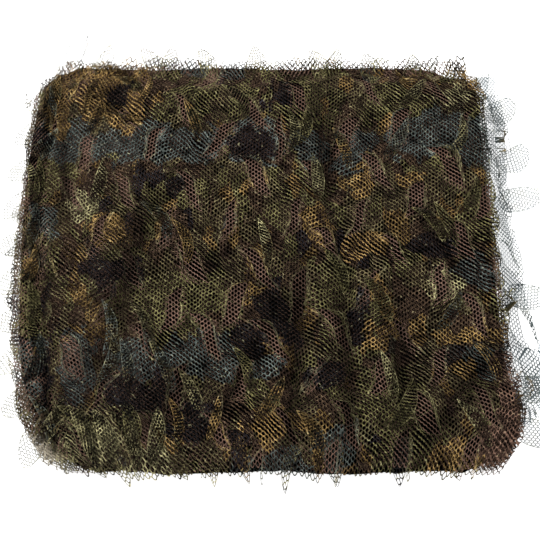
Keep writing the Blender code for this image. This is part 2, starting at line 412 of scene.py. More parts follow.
def weave(size=1.0, thick=1.0):
    """The sizes of the knitted mesh, as set, or with smaller holes or thinner strands."""
    cloth = bpy.context.scene.net_cloth
    return Weave(cloth.column * size, cloth.pitch * size, cloth.strand * thick)


def hole_corners(mesh):
    """The six corners of a mesh hole, round from the right, about its middle."""
    a, b, half = mesh.column, mesh.pitch, mesh.strand / 2
    side_x = a * 0.745
    top_x = a - side_x
    slope = math.hypot(side_x - top_x, b / 2)
    right = side_x - half * slope / (b / 2)
    high = b / 2 - half
    top = right + (top_x - side_x) * high / (b / 2)
    return np.array([(right, 0), (top, high), (-top, high), (-right, 0), (-top, -high), (top, -high)])


def knit(mesh, low, high, turn=0.0, keep=None, narrow=1.0):
    """Hexagonal netting over a flat rectangle: corner points, and strands as faces between holes.

    keep says which holes are inside the cut. Each strand next to such a hole is made.
    lean is 1 and -1 on the strands that run the two slanting ways, and home is the middle of
    the hole that each point belongs to."""
    a, b = mesh.column * narrow, mesh.pitch
    low, high = np.array(low, float), np.array(high, float)
    middle, half = (low + high) / 2, (high - low) / 2 + 2 * b
    c, s = math.cos(turn), math.sin(turn)
    reach = np.array([abs(c) * half[0] + abs(s) * half[1], abs(s) * half[0] + abs(c) * half[1]])
    columns, rows = int(reach[0] / a) + 1, int(reach[1] / b) + 1
    i, j = np.meshgrid(np.arange(-columns, columns + 1), np.arange(-rows, rows + 1), indexing="ij")
    odd = i % 2
    centre = np.stack([i * a, (j + 0.5 * odd) * b], -1).reshape(-1, 2)
    rotate = np.array([[c, s], [-s, c]])
    corners = hole_corners(mesh) * (narrow, 1.0)
    points = ((centre[:, None] + corners[None]) @ rotate + middle).reshape(-1, 2)
    centre = centre @ rotate + middle
    inside = ((centre >= low) & (centre <= high)).all(1)
    if keep is not None:
        inside &= keep(centre[:, 0], centre[:, 1])
    size = i.shape

    def hole(di, dj):
        x, y = i + di, j + dj
        good = (x >= -columns) & (x <= columns) & (y >= -rows) & (y <= rows)
        index = (x + columns) * size[1] + (y + rows)
        return np.where(good, index, -1).reshape(-1)

    here = np.arange(len(centre))
    up, upper, lower = hole(0, 1), hole(1, odd), hole(1, odd - 1)
    kinds = (
        (((here, 2), (here, 1), (up, 5), (up, 4)), 0.0),
        (((here, 0), (upper, 4), (upper, 3), (here, 1)), 1.0),
        (((here, 5), (lower, 3), (lower, 2), (here, 0)), -1.0),
        (((here, 0), (lower, 2), (upper, 4)), 0.0),
        (((here, 1), (upper, 3), (up, 5)), 0.0),
    )
    faces, lean = [], []
    for corners_of, tone in kinds:
        holes = np.stack([h for h, _ in corners_of], 1)
        real = (holes >= 0).all(1)
        real &= inside[np.where(holes < 0, 0, holes)].any(1)
        quad = np.stack([h * 6 + k for h, k in corners_of], 1)[real]
        if quad.shape[1] == 3:
            quad = np.concatenate([quad, np.full((len(quad), 1), -1)], 1)
        faces.append(quad)
        lean.append(np.full(len(quad), tone))
    return Net(points, np.repeat(centre, 6, 0), np.concatenate(faces), np.concatenate(lean))


def compact(net):
    """The net without its unused points."""
    used = np.unique(net.faces[net.faces >= 0])
    place = np.full(len(net.flat), -1)
    place[used] = np.arange(len(used))
    faces = np.where(net.faces >= 0, place[net.faces], -1)
    return Net(net.flat[used], net.home[used], faces, net.lean)


def ribbon(outer, inner, home=None):
    """A narrow run of faces between two lines of flat places."""
    count = len(outer)
    first = np.arange(count - 1)
    faces = np.stack([first, first + 1, first + 1 + count, first + count], 1)
    flat = np.concatenate([outer, inner])
    return Net(flat, flat if home is None else home, faces, np.zeros(count - 1))


def joined(net, other):
    faces = np.where(other.faces >= 0, other.faces + len(net.flat), -1)
    return Net(
        np.concatenate([net.flat, other.flat]),
        np.concatenate([net.home, other.home]),
        np.concatenate([net.faces, faces]),
        np.concatenate([net.lean, other.lean]),
    )


def make_piece(name, points, faces, flat, tones, face_tones, material, sheet_flat=None):
    """A mesh object from corner points and three- or four-sided faces.

    flat goes to the UV map of flat lengths, and, fitted to the unit square, to the other one."""
    four = faces[:, 3] >= 0
    a, b, c = points[faces[:, 0]], points[faces[:, 1]], points[faces[:, 2]]
    d = np.where(four[:, None], points[np.where(four, faces[:, 3], faces[:, 2])], c)
    area = np.linalg.norm(np.cross(b - a, c - a), axis=1) + np.linalg.norm(np.cross(c - a, d - a), axis=1)
    solid = area / 2 > 1e-9
    faces, four = faces[solid], four[solid]
    face_tones = {k: v[solid] for k, v in face_tones.items()}
    used = np.unique(faces[faces >= 0])
    place = np.full(len(points), -1)
    place[used] = np.arange(len(used))
    faces = np.where(faces >= 0, place[faces], -1)
    points, flat = points[used], flat[used]
    tones = {k: v[used] for k, v in tones.items()}
    loops = faces.reshape(-1)
    loops = loops[loops >= 0]
    counts = np.where(four, 4, 3)
    mesh = bpy.data.meshes.new(name)
    mesh.vertices.add(len(points))
    mesh.vertices.foreach_set("co", points.astype(np.float32).ravel())
    mesh.loops.add(len(loops))
    mesh.loops.foreach_set("vertex_index", loops.astype(np.int32))
    mesh.polygons.add(len(faces))
    starts = np.concatenate([[0], np.cumsum(counts)[:-1]])
    mesh.polygons.foreach_set("loop_start", starts.astype(np.int32))
    mesh.polygons.foreach_set("use_smooth", np.ones(len(faces), bool))
    mesh.update(calc_edges=True)
    span = flat.max(0) - flat.min(0)
    unit = (flat - flat.min(0)) / span.max() * 0.996 + 0.002
    for layer, values in (("OFBake", unit if sheet_flat is None else sheet_flat[used]), ("flat", flat)):
        uv = mesh.uv_layers.new(name=layer)
        uv.data.foreach_set("uv", values[loops].astype(np.float32).ravel())
    mesh.uv_layers["OFBake"].active = True
    for domain, group in (("POINT", tones), ("FACE", face_tones)):
        for key, values in group.items():
            mesh.attributes.new(key, "FLOAT", domain).data.foreach_set("value", values.astype(np.float32))
    mesh.materials.append(material)
    piece = bpy.data.objects.new(name, mesh)
    bpy.context.scene.collection.objects.link(piece)
    return piece


def hand_over(piece):
    """Puts a piece on the frame in the place of the plain solid."""
    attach(piece, "root")
    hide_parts(NODE)
    return piece


def area_of(piece):
    """The area of a piece's faces, as it lies."""
    size = np.zeros(len(piece.data.polygons), np.float32)
    piece.data.polygons.foreach_get("area", size)
    return float(size.sum())


# --------------------------------------------------------------------------- print and tone


# Where the print's larger patches lie on the pack, by its colours. wide and deep are
# half sizes, lean is the shift in x for each metre of y.
Patch = namedtuple("Patch", "kind x y wide deep lean")
PATCHES = (
    Patch("gold", -0.128, 0.132, 0.034, 0.034, 0.0),
    Patch("ink", -0.127, 0.134, 0.014, 0.015, 0.0),
    Patch("gold", -0.176, 0.125, 0.012, 0.030, 0.0),
    Patch("gold", -0.150, 0.152, 0.030, 0.007, 0.0),
    Patch("gold", -0.018, 0.048, 0.011, 0.011, 0.4),
    Patch("gold", 0.061, 0.050, 0.012, 0.013, 0.0),
    Patch("gold", 0.101, 0.050, 0.009, 0.011, 0.0),
    Patch("gold", 0.027, 0.012, 0.012, 0.025, -0.2),
    Patch("gold", 0.065, -0.004, 0.014, 0.014, 0.5),
    Patch("gold", -0.048, 0.002, 0.007, 0.008, 0.0),
    Patch("gold", -0.129, 0.010, 0.014, 0.013, 0.0),
    Patch("gold", -0.020, -0.043, 0.014, 0.009, 0.0),
    Patch("gold", 0.071, -0.080, 0.012, 0.009, 0.0),
    Patch("gold", 0.138, -0.075, 0.032, 0.008, 0.0),
    Patch("gold", 0.130, -0.103, 0.012, 0.008, 0.0),
    Patch("gold", -0.073, -0.152, 0.009, 0.017, 0.3),
    Patch("gold", -0.047, -0.150, 0.008, 0.016, -0.3),
    Patch("gold", -0.001, -0.142, 0.026, 0.012, 0.0),
    Patch("gold", 0.122, -0.163, 0.022, 0.011, 0.0),
    Patch("gold", 0.085, 0.106, 0.007, 0.013, 0.4),
    Patch("gold", 0.158, 0.146, 0.009, 0.018, -0.4),
    Patch("gold", -0.131, -0.069, 0.008, 0.009, 0.0),
    Patch("gold", -0.187, -0.018, 0.008, 0.012, 0.0),
    Patch("slate", -0.170, 0.088, 0.026, 0.021, 0.0),
    Patch("slate", -0.110, 0.086, 0.052, 0.020, 0.0),
    Patch("slate", -0.060, 0.083, 0.022, 0.019, 0.0),
    Patch("slate", -0.020, 0.084, 0.024, 0.022, 0.0),
    Patch("slate", 0.026, 0.083, 0.016, 0.020, 0.0),
    Patch("slate", 0.060, 0.081, 0.018, 0.022, 0.3),
    Patch("slate", 0.120, 0.095, 0.036, 0.024, 0.4),
    Patch("slate", 0.157, 0.085, 0.018, 0.024, 0.0),
    Patch("slate", -0.104, -0.096, 0.015, 0.019, 0.0),
    Patch("slate", -0.066, -0.091, 0.024, 0.017, 0.0),
    Patch("slate", -0.027, -0.097, 0.032, 0.019, 0.0),
    Patch("slate", 0.147, -0.024, 0.015, 0.018, 0.0),
    Patch("slate", 0.149, -0.098, 0.020, 0.012, 0.0),
    Patch("slate", -0.145, -0.100, 0.013, 0.032, 0.0),
    Patch("slate", -0.178, -0.100, 0.014, 0.026, 0.0),
    Patch("slate", -0.001, -0.169, 0.034, 0.008, 0.0),
    Patch("slate", -0.048, 0.156, 0.028, 0.008, 0.0),
    Patch("slate", -0.180, 0.018, 0.012, 0.016, 0.0),
    Patch("slate", 0.042, -0.158, 0.015, 0.013, 0.0),
    Patch("ink", 0.000, -0.062, 0.012, 0.026, -0.5),
    Patch("ink", -0.023, -0.080, 0.016, 0.014, 0.0),
    Patch("ink", -0.102, -0.122, 0.026, 0.017, 0.3),
    Patch("ink", -0.059, -0.141, 0.017, 0.016, 0.0),
    Patch("ink", 0.033, -0.107, 0.015, 0.011, 0.0),
    Patch("ink", 0.114, -0.005, 0.017, 0.010, -0.3),
    Patch("ink", 0.058, -0.070, 0.010, 0.012, 0.0),
    Patch("ink", -0.020, 0.083, 0.017, 0.016, 0.0),
    Patch("ink", -0.077, 0.047, 0.015, 0.010, 0.0),
    Patch("ink", -0.125, -0.024, 0.023, 0.015, 0.0),
    Patch("ink", -0.027, -0.158, 0.009, 0.013, 0.0),
    Patch("ink", 0.005, 0.135, 0.011, 0.015, 0.0),
    Patch("ink", -0.187, 0.086, 0.008, 0.012, 0.0),
    # This narrow black band lies along the left fold, where the top layer's end casts its shadow: painted
    # shadow, in the ink colour.
    Patch("ink", -0.168, -0.105, 0.007, 0.028, 0.0),
    Patch("moss", 0.019, 0.126, 0.028, 0.031, 0.0),
    Patch("moss", 0.094, 0.117, 0.024, 0.021, 0.0),
    Patch("moss", -0.082, -0.054, 0.032, 0.031, 0.0),
    Patch("moss", 0.025, 0.062, 0.013, 0.026, -0.2),
    Patch("moss", 0.086, -0.135, 0.027, 0.038, 0.0),
    Patch("moss", 0.092, -0.168, 0.026, 0.012, 0.0),
    Patch("moss", 0.153, 0.012, 0.022, 0.017, 0.0),
    Patch("moss", -0.070, 0.126, 0.028, 0.017, 0.0),
    Patch("moss", 0.041, -0.042, 0.018, 0.036, 0.0),
    Patch("moss", -0.185, 0.050, 0.013, 0.016, 0.0),
    Patch("moss", -0.186, -0.045, 0.012, 0.020, 0.0),
    Patch("straw", -0.135, -0.157, 0.030, 0.019, 0.0),
    Patch("straw", -0.092, -0.168, 0.018, 0.012, 0.0),
    Patch("straw", -0.149, 0.030, 0.011, 0.012, 0.0),
    Patch("straw", 0.124, -0.035, 0.016, 0.016, 0.0),
    Patch("straw", 0.140, 0.128, 0.012, 0.010, 0.0),
    Patch("rose", 0.163, -0.155, 0.026, 0.024, 0.0),
    Patch("rose", 0.168, -0.105, 0.010, 0.024, 0.0),
)
PATCH_KINDS = ("gold", "slate", "ink", "moss", "straw", "rose")


def wander(x, y, size, seed):
    """A smooth, even mix of waves about zero, near 1 at most."""
    rng = np.random.default_rng(seed)
    total = np.zeros_like(x)
    for _ in range(6):
        angle, phase = rng.uniform(0.0, 2.0 * math.pi, 2)
        length = size * rng.uniform(0.7, 1.6)
        total += np.sin(2.0 * math.pi * (x * math.cos(angle) + y * math.sin(angle)) / length + phase)
    return total / 3.0


def patch_tones(x, y):
    """How much of each patch colour the print has at places on the pack."""
    wx = x + 0.0040 * wander(x, y, 0.030, 11) + 0.0018 * wander(x, y, 0.011, 12)
    wy = y + 0.0040 * wander(x, y, 0.030, 13) + 0.0018 * wander(x, y, 0.011, 14)
    tones = {kind: np.zeros(len(x)) for kind in PATCH_KINDS}
    for p in PATCHES:
        across = (wx - p.x - p.lean * (wy - p.y)) / p.wide
        distance = np.hypot(across, (wy - p.y) / p.deep)
        tones[p.kind] = np.maximum(tones[p.kind], np.clip(1.6 - 1.1 * distance, 0.0, 1.0))
    return tones


# --------------------------------------------------------------------------- leaf cuts


Cut = namedtuple("Cut", "x y tilt half bend roll_right roll_left curl flat puff")


def leaf_cuts(cloth, low, high, seed, widen=1.0):
    """The curved cuts of the leaf-cut cloth, in staggered rows that lean one way and the other."""
    rng = np.random.default_rng(seed)
    cuts = []
    for row in range(-12, 13):
        odd = row % 2
        for column in range(-12, 13):
            x = cloth.cut_x + cloth.cut_step * (column + 0.5 * odd) + cloth.cut_drift * row
            y = cloth.cut_y - cloth.cut_row * row + cloth.cut_rise * (column + 0.5 * odd)
            jitter = rng.normal(0.0, 1.0, 8)
            x += 0.0030 * jitter[0]
            y += 0.0030 * jitter[1]
            if not (low[0] <= x <= high[0] and low[1] <= y <= high[1]):
                continue
            tilt = math.radians((61.0 if odd == 0 else 130.0) + 6.0 * jitter[2])
            wide = widen * cloth.cut_open * np.clip(1.0 + 0.30 * jitter[3], 0.45, 1.5)
            share = np.clip(0.62 + 0.16 * jitter[4], 0.35, 0.85)
            if jitter[5] < -0.3:
                share = 1.0 - share
            cuts.append(
                Cut(
                    x=x,
                    y=y,
                    tilt=tilt,
                    half=cloth.cut_half * np.clip(1.0 + 0.12 * jitter[6], 0.75, 1.25),
                    bend=0.0030 * (1.0 if odd == 0 else -1.0),
                    roll_right=wide * share,
                    roll_left=wide * (1.0 - share),
                    curl=2.5 + 0.25 * jitter[7],
                    flat=0.42 + 0.06 * jitter[3],
                    puff=0.0016 + 0.0005 * jitter[4],
                )
            )
    return cuts


def near_to(item, x, y, reach):
    """Which places are inside the square that goes out from the item's middle by reach."""
    return np.flatnonzero((np.abs(x - item.x) < reach) & (np.abs(y - item.y) < reach))


def by_cut(cut, x, y):
    """Lengths along a cut and to its left, for places on the cloth."""
    c, s = math.cos(cut.tilt), math.sin(cut.tilt)
    along = (x - cut.x) * c + (y - cut.y) * s
    aside = -(x - cut.x) * s + (y - cut.y) * c
    share = np.clip(along / cut.half, -1.0, 1.0)
    return along, aside - cut.bend * np.sin(math.pi * share)


def split_at_cuts(net, place, cuts):
    """Parts the strands that cross a cut, so that each lip keeps its own edge.

    place gives the places on the cloth of flat points. Returns the net and a tone for the pale rims along
    the lips, with their painted highlight."""
    flat, home, faces, lean = net.flat, net.home, net.faces, net.lean
    rim = np.zeros(len(flat))
    hx, hy = place(home).T
    first = np.where(faces >= 0, faces, faces[:, :1])
    doubled, doubled_home, doubled_lean = [], [], []
    gone = np.zeros(len(faces), bool)
    for cut in cuts:
        near = near_to(cut, hx, hy, cut.half + 0.006)
        side = np.zeros(len(flat))
        along, aside = by_cut(cut, hx[near], hy[near])
        side[near] = np.where((np.abs(along) < cut.half) & (np.abs(aside) < 0.005), np.sign(aside), 0.0)
        sides = side[first]
        crossing = np.flatnonzero((sides.max(1) > 0) & (sides.min(1) < 0) & ~gone)
        gone[crossing] = True
        for sign in (1.0, -1.0):
            corner = np.argmax(sides[crossing] == sign, axis=1)
            doubled.append(faces[crossing])
            doubled_home.append(home[first[crossing, corner]])
            doubled_lean.append(lean[crossing])
    if not doubled or not sum(len(d) for d in doubled):
        return net, rim
    made, owner = np.concatenate(doubled), np.concatenate(doubled_home)
    count = len(flat)
    new_index = count + np.arange(made.size).reshape(made.shape)
    new_faces = np.where(made >= 0, new_index, -1)
    source = np.where(made >= 0, made, made[:, :1]).reshape(-1)
    flat = np.concatenate([flat, flat[source]])
    home = np.concatenate([home, np.repeat(owner, made.shape[1], 0)])
    faces = np.concatenate([faces[~gone], new_faces])
    lean = np.concatenate([lean[~gone], np.concatenate(doubled_lean)])
    rim = np.concatenate([rim, np.ones(made.size)])
    return Net(flat, home, faces, lean), rim


def beside_cut(cut, along, aside):
    """Places on the pack at lengths along a cut, and aside to its left."""
    c, s = math.cos(cut.tilt), math.sin(cut.tilt)
    return np.stack([cut.x + along * c - aside * s, cut.y + along * s + aside * c], 1)


def flat_places(target, place, start):
    """The flat places that lie at the target's places on the pack, neared step by step."""
    flat = np.tile(start, (len(target), 1))
    for _ in range(12):
        here = place(flat)
        run = (place(flat + (0.001, 0.0)) - here)[:, :1]
        flat = flat + (target - here) / np.concatenate([np.sign(run), np.ones_like(run)], 1)
    return flat


def cut_lips(cuts, place, u_range, depth):
    """Narrow sealed lips along both sides of each cut, as ribbons in the cloth's flat places."""
    start = [(u_range[0] + u_range[1]) / 2, depth / 2]
    for cut in cuts:
        along = np.linspace(-0.94, 0.94, 22) * cut.half
        for sign in (1.0, -1.0):
            outer, inner, home = (
                flat_places(beside_cut(cut, along, sign * aside), place, start)
                for aside in (0.00004, LIP, 0.001)
            )
            inside = ((outer > (u_range[0], 0.0)) & (outer < (u_range[1], depth))).all()
            missed = np.abs(place(outer) - beside_cut(cut, along, 0.0)).max()
            if inside and missed < LIP:
                yield ribbon(outer, inner, np.concatenate([home, home]))


def roll_back(cuts, x, y, hx, hy):
    """Rolls the cloth back from its cuts. Returns new places, heights, a tone for the pale rims with
    their painted highlight, and a reverse tone.
    """
    x, y = x.copy(), y.copy()
    height, rim, reverse = np.zeros(len(x)), np.zeros(len(x)), np.zeros(len(x))
    for cut in cuts:
        near = near_to(cut, hx, hy, cut.half + 0.004 + 0.01)
        _, home_aside = by_cut(cut, hx[near], hy[near])
        along, aside = by_cut(cut, x[near], y[near])
        sign = np.where(home_aside >= 0, 1.0, -1.0)
        distance = np.maximum(aside * sign, 0.0)
        open_share = np.clip(1.0 - (along / cut.half) ** 2, 0.0, 1.0)
        roll = np.where(sign > 0, cut.roll_left, cut.roll_right) * open_share**0.8
        curl = cut.curl * np.clip(roll / 0.006, 0.25, 1.0)
        radius = np.maximum(roll / curl, 1e-6)
        angle = np.clip((roll - distance) / radius, 0.0, None)
        rolled = angle > 0
        new_distance = np.where(rolled, roll - radius * np.sin(angle), distance)
        lift = np.where(rolled, radius * (1.0 - np.cos(angle)) * cut.flat, 0.0)
        lift += cut.puff * open_share * np.exp(-((distance / 0.009) ** 2))
        moved = sign * new_distance - aside
        x[near] += -math.sin(cut.tilt) * moved
        y[near] += math.cos(cut.tilt) * moved
        height[near] += lift
        # The pale rim with its painted highlight, along the cut's lips.
        edge = np.exp(-((distance / 0.0014) ** 2)) * (open_share > 0.02)
        rim[near] = np.maximum(rim[near], edge)
        reverse[near] = np.maximum(reverse[near], ease((angle - 1.2) / 0.8))
    return x, y, height, rim, reverse


# --------------------------------------------------------------------------- settings


def length_property(name, description, default):
    return bpy.props.FloatProperty(name=name, description=description, default=default, unit="LENGTH")


class NET_cloth(bpy.types.PropertyGroup):
    """Sizes of the netting and of the leaf cuts."""

    column: length_property("Column spacing", "From one column of mesh holes to the next", 0.00226)
    pitch: length_property("Hole pitch", "From one mesh hole to the next, along a column", 0.00346)
    strand: length_property("Strand width", "Width of the strands between the mesh holes", 0.00066)
    cut_step: length_property("Cut spacing", "From one leaf cut to the next in its row", 0.0487)
    cut_row: length_property("Cut row spacing", "From one row of leaf cuts to the next", 0.0330)
    cut_drift: length_property("Cut drift", "How far each row of leaf cuts is shifted along", 0.0037)
    cut_rise: length_property(
        "Cut rise", "How much a row of leaf cuts rises from one cut to the next", 0.0043
    )
    cut_x: length_property("First cut, x", "Place of the cut that the rows are counted from", -0.144)
    cut_y: length_property("First cut, y", "Place of the cut that the rows are counted from", 0.076)
    cut_half: length_property(
        "Half length of a cut", "From the middle of a leaf cut to its end", 0.0205
    )
    cut_open: length_property(
        "Cloth rolled back",
        "How much cloth rolls back from a leaf cut, on both of its sides together",
        0.0140,
    )


def colour_property(name, description, default):
    return bpy.props.FloatVectorProperty(
        name=name, description=description, default=default, size=3, subtype="COLOR", min=0.0, max=1.0
    )


class NET_colours(bpy.types.PropertyGroup):
    """Colours of the netting and of its print."""

    backing: colour_property("Backing", "The plain netting behind the leaves", (0.290, 0.175, 0.130))
    olive: colour_property("Olive", "The print's ground", (0.175, 0.142, 0.070))
    brown: colour_property("Brown", "The print's brown leaves", (0.120, 0.076, 0.046))
    moss: colour_property("Moss", "The print's green leaves", (0.240, 0.215, 0.090))
    gold: colour_property("Gold", "The print's ochre leaves", (0.520, 0.330, 0.120))
    slate: colour_property("Slate", "The print's blue-grey leaves", (0.140, 0.165, 0.150))
    ink: colour_property("Ink", "The print's black shapes", (0.026, 0.023, 0.026))
    straw: colour_property("Straw", "The print's pale leaves", (0.520, 0.470, 0.240))
    rose: colour_property("Rose", "The print's mauve patches", (0.290, 0.170, 0.120))
    pale: colour_property("Pale", "The lips and reverse of the leaves", (0.620, 0.570, 0.310))
    blush: colour_property("Blush", "Thin leaves round the left folds", (0.720, 0.640, 0.500))
    mist: colour_property("Mist", "Thin leaves that lie out past the pack", (0.130, 0.180, 0.200))


class NET_studio(bpy.types.PropertyGroup):
    """The stage, the lights and the view."""

    view_rise: bpy.props.FloatProperty(
        name="View elevation",
        description="Angle of the view above the surface",
        default=math.radians(65.0),
        subtype="ANGLE",
    )
    view_distance: length_property("View distance", "From the camera to the middle of the pack", 1.0)
    lens: bpy.props.FloatProperty(
        name="Focal length",
        description="Focal length on a sensor 36 mm wide, in millimetres",
        default=87.27,
    )
    key_power: bpy.props.FloatProperty(
        name="Key light",
        description="Power of the large light, in watts",
        default=26.0,
    )
    fill_power: bpy.props.FloatProperty(
        name="Fill light",
        description="Power of the softer light from the right, in watts",
        default=12.0,
    )
    floor_glow: bpy.props.FloatProperty(
        name="Floor glow",
        description="Light that comes through the white floor, as on a light table",
        default=0.80,
    )
    sky: bpy.props.FloatProperty(
        name="Room light",
        description="Strength of the even light from all round",
        default=0.48,
    )


# --------------------------------------------------------------------------- materials


class Nodes:
    """Short ways to add shader nodes to a material."""

    def __init__(self, name):
        self.material = bpy.data.materials.new(name)
        self.material.use_nodes = True
        self.tree = self.material.node_tree
        self.shader = self.tree.nodes["Principled BSDF"]

    def add(self, kind, inputs=(), **settings):
        node = self.tree.nodes.new(kind)
        for key, value in settings.items():
            setattr(node, key, value)
        for key, value in dict(inputs).items():
            self.put(node.inputs[key], value)
        return node

    def put(self, socket, value):
        if isinstance(value, bpy.types.NodeSocket):
            self.tree.links.new(value, socket)
        else:
            socket.default_value = value

    def math(self, operation, a, b=0.0, clamp=False):
        node = self.add("ShaderNodeMath", operation=operation, use_clamp=clamp)
        self.put(node.inputs[0], a)
        self.put(node.inputs[1], b)
        return node.outputs[0]

    def scale(self, value, by, plus):
        """The value times a number, plus another."""
        scaled = self.math("MULTIPLY_ADD", value, by)
        scaled.node.inputs[2].default_value = plus
        return scaled

    def blend(self, factor, a, b, way="MIX"):
        node = self.add("ShaderNodeMix", data_type="RGBA", blend_type=way)
        self.put(node.inputs[0], factor)
        self.put(node.inputs[6], a)
        self.put(node.inputs[7], b)
        return node.outputs[2]

    def tone(self, name):
        return self.add("ShaderNodeAttribute", attribute_name=name).outputs["Fac"]

    def noise(self, where, scale, detail=3.0, rough=0.55):
        inputs = {"Vector": where, "Scale": scale, "Detail": detail, "Roughness": rough}
        return self.add("ShaderNodeTexNoise", inputs).outputs[0]

    def ramp(self, factor, low, high):
        return self.add(
            "ShaderNodeMapRange", {"Value": factor, "From Min": low, "From Max": high}, clamp=True
        ).outputs[0]


BLACK = (0.0, 0.0, 0.0, 1.0)


def full(colour, shade=1.0):
    return (colour[0] * shade, colour[1] * shade, colour[2] * shade, 1.0)


def finish_yarn(nodes, flat, colour):
    """Yarn: mottled along the strands, with painted shade: darker on those that slope away from the
    light, darker in creases and under the cloth and leaves that lie on them, and near black on the closed
    sheet of the packed middle.
    """
    fibre = nodes.noise(flat, 520.0, 3.0, 0.6)
    speck = nodes.math("ADD", nodes.ramp(fibre, 0.36, 0.66), nodes.tone("pale"), clamp=True)
    colour = nodes.blend(speck, nodes.blend(1.0, colour, (0.30, 0.30, 0.30, 1.0), "MULTIPLY"), colour)
    # Painted shade: the strands that run one slanting way are darkened. Which way changes by patches, and
    # thin pale cloth is darkened less.
    sway = nodes.math("MULTIPLY", nodes.math("SUBTRACT", nodes.noise(flat, 22.0, 1.0), 0.42), 7.0)
    away = nodes.math("MULTIPLY", nodes.tone("lean"), sway)
    shadow = nodes.scale(nodes.tone("pale"), -0.45, 0.75)
    colour = nodes.blend(nodes.math("MULTIPLY", away, shadow, clamp=True), colour, BLACK)
    # Painted shade: cloth that lies under other cloth or leaves, and cloth in creases and valleys, is
    # darkened by up to three quarters.
    dark = nodes.math("MAXIMUM", nodes.tone("covered"), nodes.tone("fold"))
    colour = nodes.blend(nodes.math("MULTIPLY", dark, 0.75), colour, BLACK)
    # Painted shade: the closed sheet in the packed middle is near black, as the shade inside the
    # tight-packed layers.
    colour = nodes.blend(nodes.tone("hidden"), colour, (0.0012, 0.0010, 0.0008, 1.0))
    nodes.put(nodes.shader.inputs["Base Color"], colour)
    nodes.shader.inputs["Roughness"].default_value = 0.85
    shine = nodes.scale(nodes.tone("hidden"), -0.05, 0.05)
    nodes.put(nodes.shader.inputs["Specular IOR Level"], shine)
    bump = nodes.add("ShaderNodeBump", {"Strength": 0.6, "Distance": 0.0002, "Height": fibre})
    nodes.put(nodes.shader.inputs["Normal"], bump.outputs[0])
    return nodes.material


def backing_material(colours):
    nodes = Nodes("backing_netting")
    flat = nodes.add("ShaderNodeUVMap", uv_map="flat").outputs[0]
    cloudy = nodes.noise(flat, 60.0, 4.0)
    dark, light = full(colours.backing, 0.75), full(colours.backing, 1.25)
    base = nodes.blend(nodes.ramp(cloudy, 0.35, 0.7), dark, light)
    base = nodes.blend(nodes.math("MULTIPLY", nodes.tone("pale"), 0.85), base, full(colours.mist))
    base = nodes.blend(nodes.math("MULTIPLY", nodes.tone("blush"), 0.85), base, full(colours.blush))
    return finish_yarn(nodes, flat, base)


